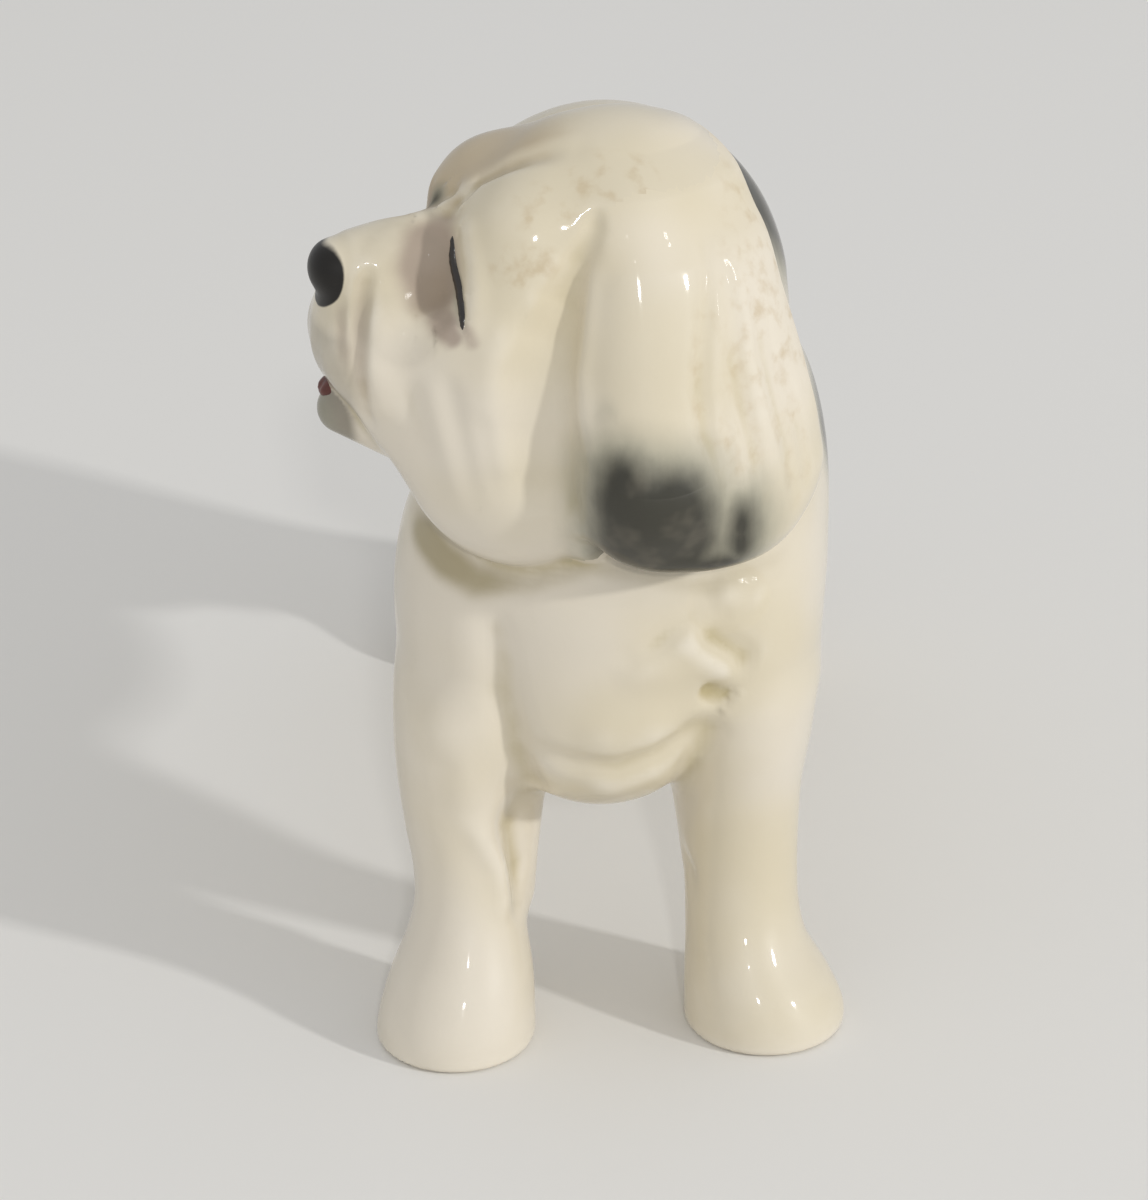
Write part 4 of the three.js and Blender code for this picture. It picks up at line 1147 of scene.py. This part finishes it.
def eye_line(count):
    """The middle of the eye as a smooth line along the bottom of the slit between the lids."""
    rows = np.array([(i, *row[:3]) for i, row in enumerate(EYE_SLIT)])
    along = np.linspace(0.1, len(rows) - 1.4, count)
    line = np.stack([eased(along, rows, column) for column in (1, 2, 3)], 1)
    world = (HEAD + line @ HEAD_DIRECTIONS).astype(np.float32)
    for _ in range(3):
        world = to_surface(figure_field, world).astype(np.float32)
    return to_head(world - unit(gradient(figure_field, world)) * EYE_DEPTH)


EYE_LINE = eye_line(14)
EYE_RADII = EYE_ENDS + EYE_SWELL * np.sin(np.linspace(0, math.pi, len(EYE_LINE))) ** 0.8


def eye_field(p, side):
    h = on_side(to_head(p), side)
    d = np.full(len(p), FAR, np.float32)
    for i in range(len(EYE_LINE) - 1):
        d = soft_min(d, limb(h, *EYE_LINE[i : i + 2], *EYE_RADII[i : i + 2]), 0.1)
    return d


def eye_box(side):
    """Two corners of a box that holds an eye."""
    world = HEAD + (EYE_LINE * (1, side, 1)) @ HEAD_DIRECTIONS
    return world.min(axis=0) - EYE_MARGIN, world.max(axis=0) + EYE_MARGIN


TONGUE_CELL = 0.35
TONGUE_BOX = ((-37, -74, 66), (-3, -38, 108))
TONGUE_GROOVE = [(23, -0.8, -12.2, 0.5, 0.3), (33, -0.8, -12.8, 0.5, 0.3)]


def tongue_field(p):
    h = to_head(p)
    return ellipsoid(h, (28.5, -0.8, -13.1), (3.9, 2.8, 1.6)) + strokes(h, [TONGUE_GROOVE])


black_paint = painted_material("black_glaze_paint", srgb(26, 22, 18), srgb(40, 32, 24), 0.5)
red_paint = painted_material("red_glaze_paint", srgb(104, 50, 40), srgb(80, 38, 30), 0.1)
for name, side in (("left_eye", 1), ("right_eye", -1)):
    small_piece(name, lambda p: eye_field(p, side), *eye_box(side), EYE_CELL, black_paint, "black_glaze")
small_piece("tongue", tongue_field, *TONGUE_BOX, TONGUE_CELL, red_paint, "red_glaze")

# Table top, in metres
TABLE_HALF = 2.5
floor_mesh = bpy.data.meshes.new("table_top")
around = ((-1, -1), (1, -1), (1, 1), (-1, 1))
floor_mesh.from_pydata([(x * TABLE_HALF, y * TABLE_HALF, 0) for x, y in around], [], [(0, 1, 2, 3)])
floor = bpy.data.objects.new("table_top", floor_mesh)
bpy.context.scene.collection.objects.link(floor)
floor_nodes = Nodes("pale_table")
floor_colour = floor_nodes.mix(floor_nodes.noise(420, 1), srgb(233, 231, 226), srgb(238, 236, 232))
floor_nodes.surface({"Base Color": floor_colour, "Roughness": 0.85, "Specular IOR Level": 0.2})
floor_mesh.materials.append(floor_nodes.material)

# The point of the sculpture that the camera and the lamps face
TARGET = Vector((*(np.array((-4.0, -50.0, 52.0)) + SHIFT) * MM,))


def facing(name, data, azimuth, elevation, distance):
    """An object that faces the figure. Azimuth 0 is in front of it and 90 at its left side."""
    thing = bpy.data.objects.new(name, data)
    a, e = math.radians(azimuth), math.radians(elevation)
    way = Vector((math.sin(a) * math.cos(e), -math.cos(a) * math.cos(e), math.sin(e)))
    thing.location = TARGET + way * distance
    thing.rotation_euler = way.to_track_quat("Z", "Y").to_euler()
    bpy.context.scene.collection.objects.link(thing)
    return thing


camera_data = bpy.data.cameras.new("camera")
camera_data.lens = 127.2
camera_data.sensor_width = 36
camera_data.sensor_fit = "AUTO"
camera_data.clip_start = 0.05
bpy.context.scene.camera = facing("camera", camera_data, azimuth=0, elevation=24, distance=0.48)


def lamp(name, azimuth, elevation, distance, width, watts):
    """A square lamp."""
    light = bpy.data.lights.new(name, "AREA")
    light.shape = "SQUARE"
    light.size = width
    light.energy = watts
    facing(name, light, azimuth, elevation, distance)


lamp("key", azimuth=61, elevation=24, distance=2.6, width=0.14, watts=25.5)
lamp("second", azimuth=4, elevation=26, distance=2.6, width=0.11, watts=10)

world = bpy.data.worlds.new("soft_light")
bpy.context.scene.world = world
world.use_nodes = True
background = world.node_tree.nodes["Background"]
background.inputs["Color"].default_value = (0.97, 0.98, 1.0, 1.0)
background.inputs["Strength"].default_value = 0.6

bpy.context.scene.view_settings.view_transform = "Standard"
